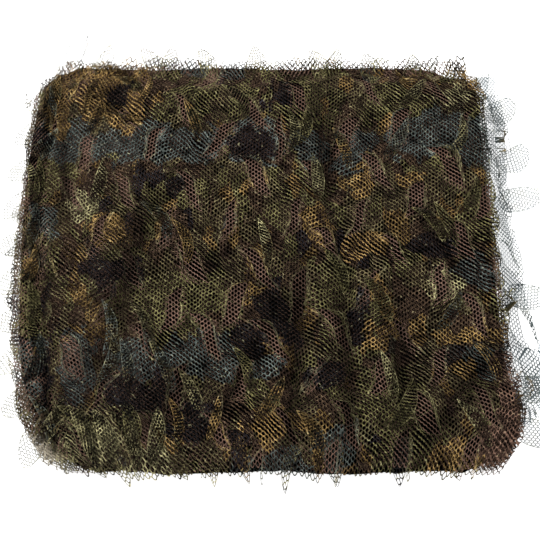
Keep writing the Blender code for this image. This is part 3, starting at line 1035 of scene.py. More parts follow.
def print_material(colours):
    """Camouflage print: a leafy ground, and patches whose edges break up into leaf shapes."""
    nodes = Nodes("printed_leaf_cloth")
    flat = nodes.add("ShaderNodeUVMap", uv_map="flat").outputs[0]
    bent = nodes.add("ShaderNodeTexNoise", {"Vector": flat, "Scale": 70.0, "Detail": 3.0})
    offset = nodes.add("ShaderNodeVectorMath", operation="MULTIPLY_ADD")
    nodes.put(offset.inputs[0], bent.outputs[1])
    offset.inputs[1].default_value = (0.016, 0.016, 0.0)
    nodes.put(offset.inputs[2], flat)
    leaf_space = nodes.add("ShaderNodeMapping", {"Vector": offset.outputs[0]})
    leaf_space.inputs["Rotation"].default_value = (0.0, 0.0, math.radians(35.0))
    leaf_space.inputs["Scale"].default_value = (1.0, 0.55, 1.0)
    cells = nodes.add("ShaderNodeTexVoronoi", {"Vector": leaf_space.outputs[0], "Scale": 95.0})
    parted = nodes.add("ShaderNodeSeparateColor", {"Color": cells.outputs["Color"]})
    pick, vary = parted.outputs[0], parted.outputs[1]
    colour = nodes.blend(nodes.ramp(pick, 0.36, 0.38), full(colours.olive), full(colours.brown))
    colour = nodes.blend(nodes.ramp(pick, 0.60, 0.62), colour, full(colours.moss))
    colour = nodes.blend(nodes.ramp(pick, 0.80, 0.82), colour, full(colours.ink, 1.5))
    colour = nodes.blend(nodes.ramp(pick, 0.88, 0.89), colour, full(colours.gold, 0.6))
    rough_edge = nodes.noise(flat, 120.0, 4.0, 0.65)
    for number, kind in enumerate(("moss", "slate", "straw", "rose", "gold", "ink")):
        own = nodes.math("FRACT", nodes.math("MULTIPLY", vary, 3.7 + number))
        uneven = nodes.math("MULTIPLY", own, 0.55)
        ragged = nodes.math("ADD", uneven, nodes.math("MULTIPLY", rough_edge, 0.35))
        amount = nodes.ramp(nodes.math("SUBTRACT", nodes.tone(kind), ragged), 0.10, 0.16)
        colour = nodes.blend(amount, colour, full(getattr(colours, kind)))
    # Painted light and shade: each leaf cell is lighter in its middle and darker towards its edge. A
    # noise makes the print brighter and darker by patches, as folds and flaps would be under the light.
    leaf_shade = nodes.ramp(cells.outputs["Distance"], 0.10, 0.70)
    shade = nodes.scale(leaf_shade, -0.50, 1.25)
    shade_patches = nodes.ramp(nodes.noise(flat, 130.0, 4.0, 0.7), 0.36, 0.66)
    shade = nodes.math("MULTIPLY", shade, nodes.scale(shade_patches, 1.45, 0.14))
    grey = nodes.add("ShaderNodeCombineColor", {0: shade, 1: shade, 2: shade}).outputs[0]
    colour = nodes.blend(1.0, colour, grey, "MULTIPLY")
    # Painted highlight: small pale specks where strands would catch the light.
    glint_noise = nodes.noise(flat, 260.0, 3.0, 0.7)
    glint_colour = nodes.blend(0.6, colour, full(colours.pale))
    colour = nodes.blend(nodes.ramp(glint_noise, 0.60, 0.70), colour, glint_colour)
    reverse = nodes.math("MULTIPLY", nodes.tone("reverse"), 0.2)
    colour = nodes.blend(reverse, colour, full(colours.pale))
    colour = nodes.blend(nodes.math("MULTIPLY", nodes.tone("pale"), 0.8), colour, full(colours.mist))
    colour = nodes.blend(nodes.math("MULTIPLY", nodes.tone("blush"), 0.8), colour, full(colours.blush))
    # Painted highlight: along the rims of the cuts and leaves and the front and back fringes, by patches,
    # the colour is raised 2.2 times and mixed with the pale colour of the lips.
    rim = nodes.math("MULTIPLY", nodes.tone("rim"), nodes.ramp(rough_edge, 0.45, 0.70))
    bright = nodes.blend(1.0, colour, (2.2, 2.2, 2.2, 1.0), "MULTIPLY")
    colour = nodes.blend(rim, colour, nodes.blend(0.55, bright, full(colours.pale)))
    return finish_yarn(nodes, flat, colour)


@functools.lru_cache(maxsize=None)
def finishes():
    colours = bpy.context.scene.net_colours
    return {
        "backing": backing_material(colours),
        "print": print_material(colours),
    }


# --------------------------------------------------------------------------- cloth on the fold


def hidden_middle(rectangle, seed):
    """A closed sheet over a flat rectangle of the strip, for the tight-packed middle of its layers,
    painted near black as the shade between them.

    Its front and back edges are ragged, like the netting's over it."""
    u0, v0, u1, v1 = rectangle
    s = strip()
    in_turn = np.zeros(len(s.u), bool)
    for (kind, _), (start, end) in s.spans.items():
        if kind == "turn":
            in_turn |= (s.u >= start) & (s.u <= end)
    kept = (in_turn | (np.arange(len(s.u)) % 2 == 0)) & (s.u > u0) & (s.u < u1)
    u, v = np.meshgrid(np.concatenate([[u0], s.u[kept], [u1]]), np.linspace(v0, v1, 40))
    folds = np.array([sum(s.spans["turn", n]) / 2 for n in range(LAYERS - 1)])
    near_fold = ease(1.6 - np.abs(u[0][:, None] - folds).min(1) / FOLD_REACH)
    v[0] += mix(-RAGGED * scallop(u[0], seed + 2), FOLD_SHORT[0], near_fold)
    v[-1] += mix(RAGGED * scallop(u[-1], seed + 3), -FOLD_SHORT[1], near_fold)
    index = np.arange(u.size).reshape(u.shape)
    corners = [index[:-1, :-1], index[:-1, 1:], index[1:, 1:], index[1:, :-1]]
    faces = np.stack(corners, -1).reshape(-1, 4)
    flat = np.stack([u.ravel(), v.ravel()], 1)
    return Net(flat, flat, faces, np.zeros(len(faces)))


def outward_side(u):
    """The strip's outer side: 1 at its left folds, -1 at its right ones, and in between elsewhere."""
    s = strip()
    folds = [sum(s.spans["turn", n]) / 2 for n in range(LAYERS - 1)]
    return np.interp(u, folds, [1.0 if n % 2 == 0 else -1.0 for n in range(LAYERS - 1)])


def scallop(place, seed, long=0.021):
    """Leaf tips along an edge: from 0.3 between them to 1 at their points, unevenly spaced."""
    rng = np.random.default_rng(seed)
    shifted = place / long + 0.9 * wander(place, place, 0.110, seed) + rng.uniform()
    number = np.floor(shifted).astype(int)
    size = rng.uniform(0.1, 1.0, 400)[number % 400]
    skew = rng.uniform(0.25, 0.75, 400)[number % 400]
    t = shifted - number
    return 0.3 + 0.7 * size * np.minimum(t / skew, (1.0 - t) / (1.0 - skew)) ** 1.3


# How far leaf tips reach past each edge of a stretch of cloth: its two ends, front and back.
Reach = namedtuple("Reach", "start end front back")
FRAYED = Reach(0.0012, 0.0012, 0.0012, 0.0012)


def inside_edges(u_range, reach, bare, seed, past):
    """Says which flat places are inside the cloth's ragged edges and in no bare rectangle."""
    depth = strip().depth + past

    def keep(u, v):
        notch = NOTCH * (1.0 - scallop(v, seed, NOTCH_LENGTH)) if reach.start > 0 else 0.0
        tips = reach.start - notch
        inside = (u > u_range[0] - tips) & (u < u_range[1] + reach.end * scallop(v, seed + 1))
        inside &= v > -reach.front * scallop(u, seed + 2)
        inside &= v < depth + reach.back * scallop(u, seed + 3)
        for u0, v0, u1, v1 in bare:
            inside &= ~((u > u0) & (u < u1) & (v > v0) & (v < v1))
        return inside

    return keep


def folded_net(name, u_range, lift, side, material, turn=0.0, narrow=1.0, cuts=(), reach=FRAYED,
               ruffle=0.0, seed=1, bare=(), middle=None, covers=(), thick=1.0, past=0.0):
    """Netting over a stretch of the strip, lifted off its middle surface towards one side.

    side is 1 or -1, the side of the strip that faces out, or None for the outer side of each
    fold. bare holds hidden flat rectangles, as (u, v, u, v), with no netting, and middle the one
    where a closed sheet, painted near black as the shade inside the tight-packed layers, stands
    for them. ruffle is how far the cloth puffs up between the places where it is joined to the one
    below. covers are the cuts of a cloth that lies on this one, through which it shows; outside
    them this cloth gets painted shade. past is how far it goes past the strip's back edge before
    its leaf tips begin."""
    s = strip()
    low = (u_range[0] - reach.start, -reach.front)
    high = (u_range[1] + reach.end, s.depth + past + reach.back)
    keep = inside_edges(u_range, reach, bare, seed, past)
    net = compact(knit(weave(1.0, thick), low, high, turn, keep, narrow))

    def place(flat):
        return s.at(flat[:, 0], flat[:, 1])[0][:, :2]

    rim = np.zeros(len(net.flat))
    if cuts:
        net, rim = split_at_cuts(net, place, cuts)
        for lip in cut_lips(cuts, place, u_range, s.depth):
            net = joined(net, lip)
        rim = np.concatenate([rim, np.ones(len(net.flat) - len(rim))])
    hidden = np.zeros(len(net.flat))
    if middle is not None:
        sheet = hidden_middle(middle, seed)
        net = joined(net, sheet)
        hidden = np.concatenate([hidden, np.ones(len(sheet.flat))])
        rim = np.concatenate([rim, np.zeros(len(sheet.flat))])
    u, v = net.flat.T
    pulled = ruffle * PULL
    base, normal = s.at(
        u + pulled * wander(u, v, PULL_LENGTH, seed + 4),
        v + pulled * wander(u, v, PULL_LENGTH, seed + 5),
    )
    x, y = base[:, 0].copy(), base[:, 1].copy()
    reverse, height = np.zeros(len(x)), np.zeros(len(x))
    if cuts:
        home = place(net.home)
        x, y, height, near_rim, reverse = roll_back(cuts, x, y, home[:, 0], home[:, 1])
        rim = np.maximum(rim, near_rim)
    facets = np.abs(wander(u, v, FACET_LENGTH, seed + 6))
    puffed = ruffle * (0.1 + 1.1 * facets + 0.12 * wander(u, v, FINE_LENGTH, seed + 7))
    rise = (lift + puffed) * (1.0 - hidden) + height
    points = base + normal * ((outward_side(u) if side is None else side) * rise)[:, None]
    points[:, 0] += x - base[:, 0]
    points[:, 1] += y - base[:, 1]
    upper = ease((base[:, 2] - UPPER_START) / UPPER_FADE)
    fold = crease_depth(FINE_CREASES, x, y)
    points[:, 2] -= FINE_DEPTH * fold * upper
    raised = BACK_LIFT * np.maximum(v - s.depth + LIFT_BEFORE, 0.0)
    raised = raised * ease((base[:, 2] - LIFT_START) / LIFT_FADE)
    points[:, 2] += raised * (1.0 - 0.35 * hidden)
    wall = left_side(points[:, 1]) + corner_in(points[:, 1]) + s.shift[0] + LEFT_THIN
    short = hidden * np.maximum(wall - points[:, 0], 0.0)
    points[:, 0] += 0.9 * short
    points[:, 2] = np.maximum(points[:, 2], LOWEST)
    tones = {"rim": rim, "reverse": reverse, "hidden": hidden, **patch_tones(base[:, 0], base[:, 1])}
    # Painted shade in the creases' troughs and in the valleys between the puffed facets, as the fold
    # tone.
    trough = np.maximum(fold, crease_depth(CREASES, x - s.shift[0], y - s.shift[1]))
    valley = np.exp(-((facets / VALLEY) ** 2)) * ease(0.5 + wander(u, v, VALLEY_LENGTH, seed + 8))
    valley = valley * (ruffle > 0.002)
    tones["fold"] = np.maximum(trough * upper, valley) * (1.0 - hidden)
    # The front and back edges get the pale rim with its painted highlight.
    fringe = ease(np.maximum(-v, v - s.depth - past) / FRINGE) * (1.0 - hidden)
    tones["rim"] = np.maximum(tones["rim"], 0.8 * fringe)
    tones["pale"], tones["blush"] = lies_out(points)
    # Painted shade: darker outside the openings of the cloth with the cuts that lies on this one, and
    # under the curled leaves.
    covered = np.zeros(len(x)) if not covers else 1.0 - shows_through(covers, x, y)
    tones["covered"] = np.maximum(covered, 1.1 * under_leaves(x, y) * upper)
    points = drawn_in(points)
    return hand_over(make_piece(name, points, net.faces, net.flat, tones, {"lean": net.lean}, material))


def crease_depth(creases, x, y):
    """How deep in the creases' troughs places are, from 0 to 1."""
    depth = np.zeros(len(x))
    for c in creases:
        if c.depth < 0:
            across = (x - c.x - c.lean * (y - c.y)) / c.wide
            along = (y - c.y) / c.long
            depth = np.maximum(depth, np.exp(-(across**2) - along**4))
    return depth


def drawn_in(points):
    """The points, with the thin cloth outermost on the left and the right drawn in a little."""
    shift = strip().shift
    x, y = points[:, 0] - shift[0], points[:, 1] - shift[1]
    share = np.clip((x - left_side(y) - corner_in(y)) / 0.030, 0.0, 1.0)
    x = x + mix(*LEFT_DRAWN, ease((y + 0.07) / 0.06)) * (1.0 - share) ** 2
    beyond = np.maximum(x - right_side(y), 0.0) * (points[:, 2] < LOOSE_HEIGHT)
    x = x - beyond * mix(*RIGHT_DRAWN, ease((y + 0.08) / 0.12))
    return np.stack([x + shift[0], points[:, 1], points[:, 2]], 1)


def lies_out(points):
    """Where thin cloth lies out past the pack's right side, and past its left one, from 0 to 1."""
    shift = strip().shift
    x, y = points[:, 0] - shift[0], points[:, 1] - shift[1]
    right = ease((x - right_side(y) - 0.001) / 0.008) * (points[:, 2] < LOOSE_HEIGHT)
    patchy = ease(1.1 + 1.6 * wander(y, y, 0.070, 91))
    left = ease((left_side(y) + 0.016 + corner_in(y) - x) / 0.014) * (points[:, 2] < 0.038)
    return right, 0.95 * left * (0.35 + 0.65 * patchy)


def shows_through(cuts, x, y):
    """1 in the openings of the cuts, and 0 away from them."""
    share = np.zeros(len(x))
    for cut in cuts:
        near = near_to(cut, x, y, cut.half)
        along, aside = by_cut(cut, x[near], y[near])
        wide = np.clip(1.0 - (along / cut.half) ** 2, 0.0, 1.0) ** 0.8
        edge = np.where(aside > 0, cut.roll_left, cut.roll_right) * wide - np.abs(aside)
        share[near] = np.maximum(share[near], ease(edge / 0.0012 + 0.5) * (wide > 0.02))
    return share


def state_sheet(piece, u_range):
    """Works out the area that the piece's strands cover, kept between 0.3 times and the whole of its flat
    stretch of strip; the result is not used.
    """
    flat = (u_range[1] - u_range[0], strip().depth)
    area = min(max(area_of(piece), 0.3 * flat[0] * flat[1]), flat[0] * flat[1])


class NET_OT_bottom(bpy.types.Operator):
    """Make the bottom layer, with the loose end that lies out on the right"""

    bl_idname = "net.bottom"
    bl_label = "Bottom layer"

    def execute(self, context):
        s, paints = strip(), finishes()
        start, end = s.spans["layer", 0]
        middle = (start + TAIL_REACH + 0.012, 0.0, end, s.depth)
        bare = (middle[0] + 0.020, BAND, end - BAND, s.depth - BAND)
        bottom = folded_net(
            "bottom_net", (start, end), 0.0, -1.0, paints["backing"],
            reach=Reach(0.004, 0.001, 0.001, 0.001), seed=60, bare=(bare,), middle=middle, thick=0.9,
        )
        state_sheet(bottom, (start, end))
        out = (start, start + TAIL_REACH + 0.030)
        cuts = leaf_cuts(context.scene.net_cloth, (0.13, -0.19), (0.24, 0.19), 9, 1.9)
        loose = folded_net(
            "loose_end_leaf_cloth", out, 0.0007, -1.0, paints["print"], turn=math.radians(-5.0),
            narrow=0.95, cuts=cuts, reach=Reach(0.010, 0.001, 0.004, 0.004), ruffle=0.0030, seed=70,
            thick=0.9,
        )
        state_sheet(loose, out)
        return {"FINISHED"}


class NET_OT_inner(bpy.types.Operator):
    """Make the layers between the bottom and the top one, netting along their edges"""

    bl_idname = "net.inner"
    bl_label = "Inner layers"

    def execute(self, context):
        s, paints = strip(), finishes()
        for first, last in ((1, 3), (4, 6), (7, 7)):
            u_range = (s.spans["turn", first - 1][0], s.spans["layer", last][1])
            bare = []
            for layer in range(first, last + 1):
                start, end = s.spans["layer", layer]
                start_band = LEFT_BAND if layer == LAYERS - 2 else BAND
                bare.append((start + start_band, BAND, end - BAND, s.depth - BAND))
            past = BACK_PAST if first == last else 0.0
            name = "layer_%d_net" % first if first == last else "layers_%d_to_%d_net" % (first, last)
            piece = folded_net(
                name, u_range, 0.0006, None, paints["backing" if first == last else "print"],
                turn=math.radians(2.0 * first), reach=Reach(0.0, 0.0, 0.0003, 0.0003), ruffle=0.0012,
                seed=40 + first, bare=bare, past=past,
                middle=(u_range[0], 0.0, u_range[1], s.depth + 1.15 * past),
            )
            state_sheet(piece, u_range)
        start = s.spans["turn", LAYERS - 3][0]
        u_range = (start - 0.010, s.spans["layer", LAYERS - 2][0] + LEFT_BAND)
        cuts = leaf_cuts(context.scene.net_cloth, (-0.25, -0.19), (-0.13, 0.19), 8)
        leaves = folded_net(
            "left_fold_leaf_cloth", u_range, 0.0007, 1.0, paints["print"], turn=math.radians(-3.0),
            narrow=0.97, cuts=cuts, reach=Reach(0.0, 0.0, 0.003, 0.0005), ruffle=0.0028, seed=50,
            past=BACK_PAST,
        )
        state_sheet(leaves, u_range)
        return {"FINISHED"}


class NET_OT_top(bpy.types.Operator):
    """Make the top layer: its backing netting and the leaf-cut cloth on it"""

    bl_idname = "net.top"
    bl_label = "Top layer"

    def execute(self, context):
        s, paints = strip(), finishes()
        u_range = (s.spans["turn", LAYERS - 2][0], s.spans["layer", LAYERS - 1][1])
        cuts = leaf_cuts(context.scene.net_cloth, (-0.160, -0.185), (0.185, 0.185), 5)
        backing = folded_net(
            "top_backing_net", u_range, 0.0, -1.0, paints["backing"],
            reach=Reach(0.0, 0.003, 0.0003, 0.0), ruffle=0.0006, seed=20, covers=cuts, past=BACK_PAST,
        )
        state_sheet(backing, u_range)
        leaves = folded_net(
            "top_leaf_cloth", u_range, 0.0006, -1.0, paints["print"], turn=math.radians(4.0),
            narrow=0.97, cuts=cuts, reach=Reach(0.0, 0.010, 0.003, 0.0005), ruffle=0.0030, seed=30,
            past=BACK_PAST,
        )
        state_sheet(leaves, u_range)
        return {"FINISHED"}


# --------------------------------------------------------------------------- loose leaves


# A leaf is a pointed piece of the printed mesh. x and y are its middle, heading is the way
# its tip points, in degrees from +x, and level is the layer that it lies on.
Leaf = namedtuple("Leaf", "level x y heading half wide curl lift droop kind")
TOP_LEAVES = (
    Leaf(8, 0.022, 0.100, 70, 0.020, 0.009, 1.5, 0.0016, 0.0, "moss"),
    Leaf(8, 0.031, 0.058, 95, 0.021, 0.008, 1.1, 0.0012, 0.0, "straw"),
    Leaf(8, -0.071, -0.140, 100, 0.020, 0.006, 1.2, 0.0014, 0.0, "gold"),
    Leaf(8, -0.044, -0.136, 75, 0.018, 0.006, 1.3, 0.0014, 0.0, "gold"),
    Leaf(8, -0.106, -0.150, 120, 0.024, 0.009, 0.9, 0.0012, 0.0, "straw"),
    Leaf(8, -0.136, -0.150, 118, 0.024, 0.009, 1.0, 0.0012, 0.0, "straw"),
    Leaf(8, -0.120, -0.094, 78, 0.020, 0.008, 1.0, 0.0010, 0.0, "slate"),
    Leaf(8, 0.095, 0.090, 62, 0.021, 0.008, 1.2, 0.0014, 0.0, "slate"),
    Leaf(8, 0.118, 0.018, 130, 0.019, 0.007, 1.0, 0.0012, 0.0, "moss"),
    Leaf(8, 0.075, -0.045, 118, 0.021, 0.009, 1.1, 0.0010, 0.0, "moss"),
    Leaf(8, 0.092, -0.130, 62, 0.022, 0.010, 1.2, 0.0012, 0.0, "moss"),
    Leaf(8, 0.141, -0.140, 125, 0.020, 0.008, 1.0, 0.0012, 0.0, "straw"),
    Leaf(8, 0.026, -0.150, 110, 0.021, 0.009, 1.2, 0.0014, 0.0, "gold"),
    Leaf(8, -0.004, -0.125, 60, 0.020, 0.008, 1.0, 0.0012, 0.0, "gold"),
    Leaf(8, -0.089, 0.022, 125, 0.021, 0.008, 1.0, 0.0010, 0.0, "slate"),
    Leaf(8, -0.137, 0.052, 80, 0.021, 0.008, 1.0, 0.0012, 0.0, "straw"),
    Leaf(8, 0.150, 0.038, 62, 0.019, 0.008, 1.0, 0.0010, 0.0, "moss"),
    Leaf(8, 0.128, -0.058, 60, 0.020, 0.007, 1.0, 0.0010, 0.0, "slate"),
    Leaf(8, -0.030, 0.128, 120, 0.020, 0.008, 1.0, 0.0012, 0.0, "moss"),
    Leaf(8, 0.110, 0.134, 55, 0.020, 0.008, 1.0, 0.0010, 0.0, "straw"),
    Leaf(8, -0.118, 0.146, 140, 0.018, 0.008, 1.0, 0.0012, 0.0, "gold"),
    Leaf(8, -0.142, 0.112, 75, 0.018, 0.008, 1.0, 0.0012, 0.0, "gold"),
    Leaf(7, -0.180, 0.132, 80, 0.026, 0.011, 1.2, 0.0020, 0.0, "gold"),
    Leaf(7, -0.184, 0.082, 55, 0.022, 0.010, 1.3, 0.0030, 0.0, "slate"),
    Leaf(7, -0.190, 0.050, 100, 0.020, 0.009, 1.2, 0.0026, 0.0, "straw"),
    Leaf(7, -0.187, 0.012, 80, 0.022, 0.008, 1.2, 0.0020, 0.0, "slate"),
    Leaf(7, -0.185, -0.020, 70, 0.018, 0.008, 1.2, 0.0026, 0.0, "gold"),
    Leaf(7, -0.181, -0.052, 100, 0.021, 0.009, 1.0, 0.0020, 0.0, "moss"),
    Leaf(7, -0.174, -0.095, 75, 0.022, 0.009, 1.1, 0.0022, 0.0, "slate"),
    Leaf(7, -0.160, -0.140, 60, 0.022, 0.009, 1.1, 0.0020, 0.0, "straw"),
)
EDGE_LEAVES = (
    Leaf(7, -0.173, 0.171, 110, 0.013, 0.007, 1.6, 0.0020, -0.004, "slate"),
    Leaf(8, -0.157, 0.172, 75, 0.016, 0.004, 2.0, 0.0020, -0.006, "slate"),
    Leaf(8, -0.139, 0.168, 60, 0.014, 0.010, 1.1, 0.0010, 0.000, "straw"),
    Leaf(8, -0.102, 0.166, 120, 0.016, 0.011, 1.0, 0.0010, 0.000, "straw"),
    Leaf(8, -0.087, 0.167, 70, 0.015, 0.010, 1.0, 0.0010, 0.002, "moss"),
    Leaf(8, -0.057, 0.165, 110, 0.016, 0.011, 1.1, 0.0010, 0.001, "straw"),
    Leaf(8, -0.017, 0.166, 80, 0.016, 0.012, 1.0, 0.0010, 0.002, "moss"),
    Leaf(8, 0.033, 0.165, 110, 0.015, 0.011, 1.1, 0.0010, 0.002, "straw"),
    Leaf(8, 0.046, 0.164, 60, 0.015, 0.010, 1.0, 0.0010, 0.001, "moss"),
    Leaf(8, 0.075, 0.161, 100, 0.015, 0.012, 1.0, 0.0010, 0.002, "slate"),
    Leaf(8, 0.110, 0.159, 75, 0.015, 0.011, 1.1, 0.0010, 0.002, "moss"),
    Leaf(8, 0.144, 0.156, 120, 0.014, 0.010, 1.1, 0.0010, 0.002, "gold"),
    Leaf(7, -0.132, -0.162, 285, 0.016, 0.010, 1.0, 0.0010, 0.010, "moss"),
    Leaf(8, -0.154, -0.151, 240, 0.016, 0.012, 1.0, 0.0010, 0.008, "straw"),
    Leaf(8, -0.112, -0.164, 270, 0.015, 0.011, 1.0, 0.0010, 0.010, "straw"),
    Leaf(8, -0.074, -0.163, 300, 0.015, 0.011, 1.1, 0.0010, 0.010, "moss"),
    Leaf(7, -0.045, -0.168, 250, 0.014, 0.007, 1.3, 0.0010, 0.010, "straw"),
    Leaf(8, -0.026, -0.164, 285, 0.014, 0.008, 1.1, 0.0010, 0.010, "gold"),
    Leaf(8, 0.007, -0.167, 245, 0.016, 0.007, 1.5, 0.0010, 0.010, "straw"),
    Leaf(8, 0.039, -0.164, 280, 0.015, 0.012, 1.0, 0.0010, 0.010, "slate"),
    Leaf(8, 0.086, -0.164, 260, 0.014, 0.012, 1.0, 0.0010, 0.010, "ink"),
    Leaf(8, 0.125, -0.164, 290, 0.013, 0.011, 1.0, 0.0010, 0.010, "rose"),
    Leaf(1, -0.190, 0.113, 200, 0.016, 0.012, 0.4, 0.0010, 0.004, "pale"),
    Leaf(2, -0.194, 0.043, 190, 0.017, 0.012, 0.4, 0.0010, 0.006, "pale"),
    Leaf(4, -0.196, 0.003, 170, 0.015, 0.012, 0.6, 0.0010, 0.006, "slate"),
    Leaf(1, -0.195, -0.030, 185, 0.016, 0.012, 0.4, 0.0010, 0.003, "pale"),
    Leaf(1, -0.190, -0.065, 200, 0.015, 0.012, 0.4, 0.0010, 0.003, "pale"),
    Leaf(2, -0.181, -0.103, 195, 0.015, 0.012, 0.5, 0.0010, 0.006, "pale"),
    Leaf(1, -0.168, -0.144, 215, 0.014, 0.012, 0.5, 0.0010, 0.003, "pale"),
    Leaf(0, 0.195, 0.057, 10, 0.018, 0.012, 0.3, 0.0010, 0.0, "pale"),
    Leaf(0, 0.193, 0.093, 35, 0.015, 0.012, 0.3, 0.0010, 0.0, "pale"),
    Leaf(0, 0.194, -0.029, 350, 0.017, 0.012, 0.3, 0.0010, 0.0, "pale"),
    Leaf(0, 0.193, -0.104, 5, 0.017, 0.012, 0.3, 0.0010, 0.0, "pale"),
    Leaf(0, 0.191, -0.139, 340, 0.015, 0.012, 0.3, 0.0010, 0.0, "pale"),
    Leaf(0, 0.185, 0.138, 30, 0.015, 0.012, 0.3, 0.0010, 0.0, "pale"),
)


# Radius of the ring of leaves round the first ink patch, and the steps of the rows of leaves:
# on the slate patches, along the front, along the left fold, across the pack, and out on the left.
BLOT_RING = 0.024
SLATE_STEP = 0.013
FRONT_STEP = 0.018
LEFT_STEP = 0.064
SCATTER_X, SCATTER_Y = 0.070, 0.110
EDGE_STEP = 0.0325


def left_x(y):
    """The pack's left side at y, in the frame."""
    shift = strip().shift
    return float(left_side(y - shift[1]) + corner_in(y - shift[1]) + shift[0])


@functools.lru_cache(maxsize=None)
def top_leaves():
    """The leaves on the pack: those placed one by one, and those in rings, rows and a scatter."""
    leaves = list(TOP_LEAVES)
    blot = next(patch for patch in PATCHES if patch.kind == "ink")
    for angle in range(10, 360, 90):
        x = blot.x + BLOT_RING * math.cos(math.radians(angle))
        y = blot.y + BLOT_RING * math.sin(math.radians(angle))
        leaves.append(Leaf(8, x, y, angle + 65, 0.017, 0.005, 1.6, 0.0018, 0.0, "gold"))
    for n in range(4):
        x, y = -0.122 + SLATE_STEP * n, -0.068 - 0.030 * (n % 2)
        leaves.append(Leaf(8, x, y, 95 + 7 * n, 0.022, 0.007, 1.2, 0.0018, 0.0, "slate"))
    for n in range(4):
        x, y = -0.140 + FRONT_STEP * n, -0.142 - 0.008 * (n % 2)
        kind = "straw" if n % 2 else "moss"
        leaves.append(Leaf(8, x, y, 130 - 15 * n, 0.020, 0.010, 1.1, 0.0022, 0.0, kind))
    for n in range(5):
        y = 0.115 - LEFT_STEP * n
        kind = "moss" if n % 2 else "slate"
        leaves.append(Leaf(7, left_x(y) + 0.020, y, 82 + 8 * n, 0.022, 0.007, 1.2, 0.0023, 0.0, kind))
    rng = np.random.default_rng(14)
    for column in range(4):
        for row in range(3):
            x = -0.075 + SCATTER_X * column + rng.uniform(-0.02, 0.02)
            y = -0.110 + SCATTER_Y * row + rng.uniform(-0.03, 0.03)
            kind = ("straw", "moss", "gold")[rng.integers(3)]
            leaves.append(Leaf(8, x, y, rng.uniform(60, 125), 0.020, 0.007, 1.3, 0.0019, 0.0, kind))
    return tuple(leaves)


@functools.lru_cache(maxsize=None)
def edge_leaves():
    """The leaves that stick out round the pack, with a row of thin ones along the left folds."""
    leaves = list(EDGE_LEAVES)
    for n in range(10):
        y = 0.145 - EDGE_STEP * n
        heading = 178 + 9 * (n % 2) + 40 * ease((n - 6.5) / 3.0)
        x = left_x(y) + 0.004
        leaves.append(Leaf(1 + n % 2, x, y, heading, 0.018, 0.013, 0.4, 0.0010, 0.005, "pale"))
    return tuple(leaves)


def leaf_width(leaf, along):
    """Half width along a leaf, from its round base to its long, narrow tip."""
    share = np.clip(0.5 + 0.5 * along / leaf.half, 0.0, 1.0)
    if leaf.kind == "pale" and leaf.level < LAYERS - 2:
        return 1.5 * leaf.wide * share**0.3 * (1.0 - share) ** 0.45
    return 1.88 * leaf.wide * share**0.6 * (1.0 - share) ** 0.9


def under_leaves(x, y):
    """1 under the leaves that lie on the pack, and 0 clear of them, for the painted shade on the cloth
    beneath.
    """
    share = np.zeros(len(x))
    for leaf in top_leaves():
        near = near_to(leaf, x, y, leaf.half)
        heading = math.radians(leaf.heading)
        dx, dy = x[near] - leaf.x, y[near] - leaf.y
        along = dx * math.cos(heading) + dy * math.sin(heading)
        aside = dy * math.cos(heading) - dx * math.sin(heading)
        inside = 0.8 * leaf_width(leaf, along) - np.abs(aside - 0.2 * along * along / leaf.half)
        share[near] = np.maximum(share[near], ease(inside / 0.002 + 0.5) * (np.abs(along) < leaf.half))
    return share


def leaf_net(leaf, number):
    """One leaf's netting: places on its own flat outline, and points of the curled leaf."""
    upper = leaf.level >= LAYERS - 2

    def keep(s, t):
        return np.abs(t) < leaf_width(leaf, s)

    mesh = weave(0.82, 0.85) if upper else weave(0.9, 0.8)
    low, high = (-leaf.half, -leaf.wide), (leaf.half, leaf.wide)
    net = compact(knit(mesh, low, high, math.radians(25.0 * number), keep))
    along = np.linspace(-0.985, 0.985, 26)
    outline = leaf_width(leaf, along * leaf.half)
    for sign in (1.0, -1.0):
        outer = np.stack([along * leaf.half, sign * outline], 1)
        inner = np.stack([along * leaf.half, sign * np.maximum(outline - LIP, 0.0)], 1)
        net = joined(net, ribbon(outer, inner))
    s, t = net.flat.T
    widest = np.maximum(leaf_width(leaf, s), 0.0003)
    t = np.clip(t, -widest, widest)
    radius = leaf.wide / leaf.curl
    across, cup = radius * np.sin(t / radius), radius * (1.0 - np.cos(t / radius))
    heading = math.radians(leaf.heading)
    bent = (0.10 if number % 2 else 0.32) * s * s / leaf.half
    across = across + bent
    x = leaf.x + s * math.cos(heading) - across * math.sin(heading)
    y = leaf.y + s * math.sin(heading) + across * math.cos(heading)
    shift = strip().shift
    raw_x, raw_y = x - shift[0], y - shift[1]
    ground = (run_height if upper else layer_height)(leaf.level, raw_x, raw_y)
    along = (s + leaf.half) / (2.0 * leaf.half)
    rooted = leaf.lift * (2.0 * along - 0.6) + cup * ease(0.2 + along)
    if upper:
        rooted = rooted + np.clip(BACK_LIFT * (raw_y - BACK_Y + LIFT_BEFORE), 0.0, BACK_RISE_MOST)
    height = ground + rooted + 0.0006 * wander(x, y, 0.012, number) - leaf.droop * along**2
    points = np.stack([x, y, np.clip(height, 0.0004, TOP_MOST)], 1)
    if upper:
        points = drawn_in(points)
    # Pale rim with a painted highlight: full at the leaf's edge, and half over the rest of the leaf.
    rim = np.maximum(np.exp(-(((widest - np.abs(t)) / 0.0012) ** 2)), 0.5)
    return net, points, np.stack([s, t], 1), rim


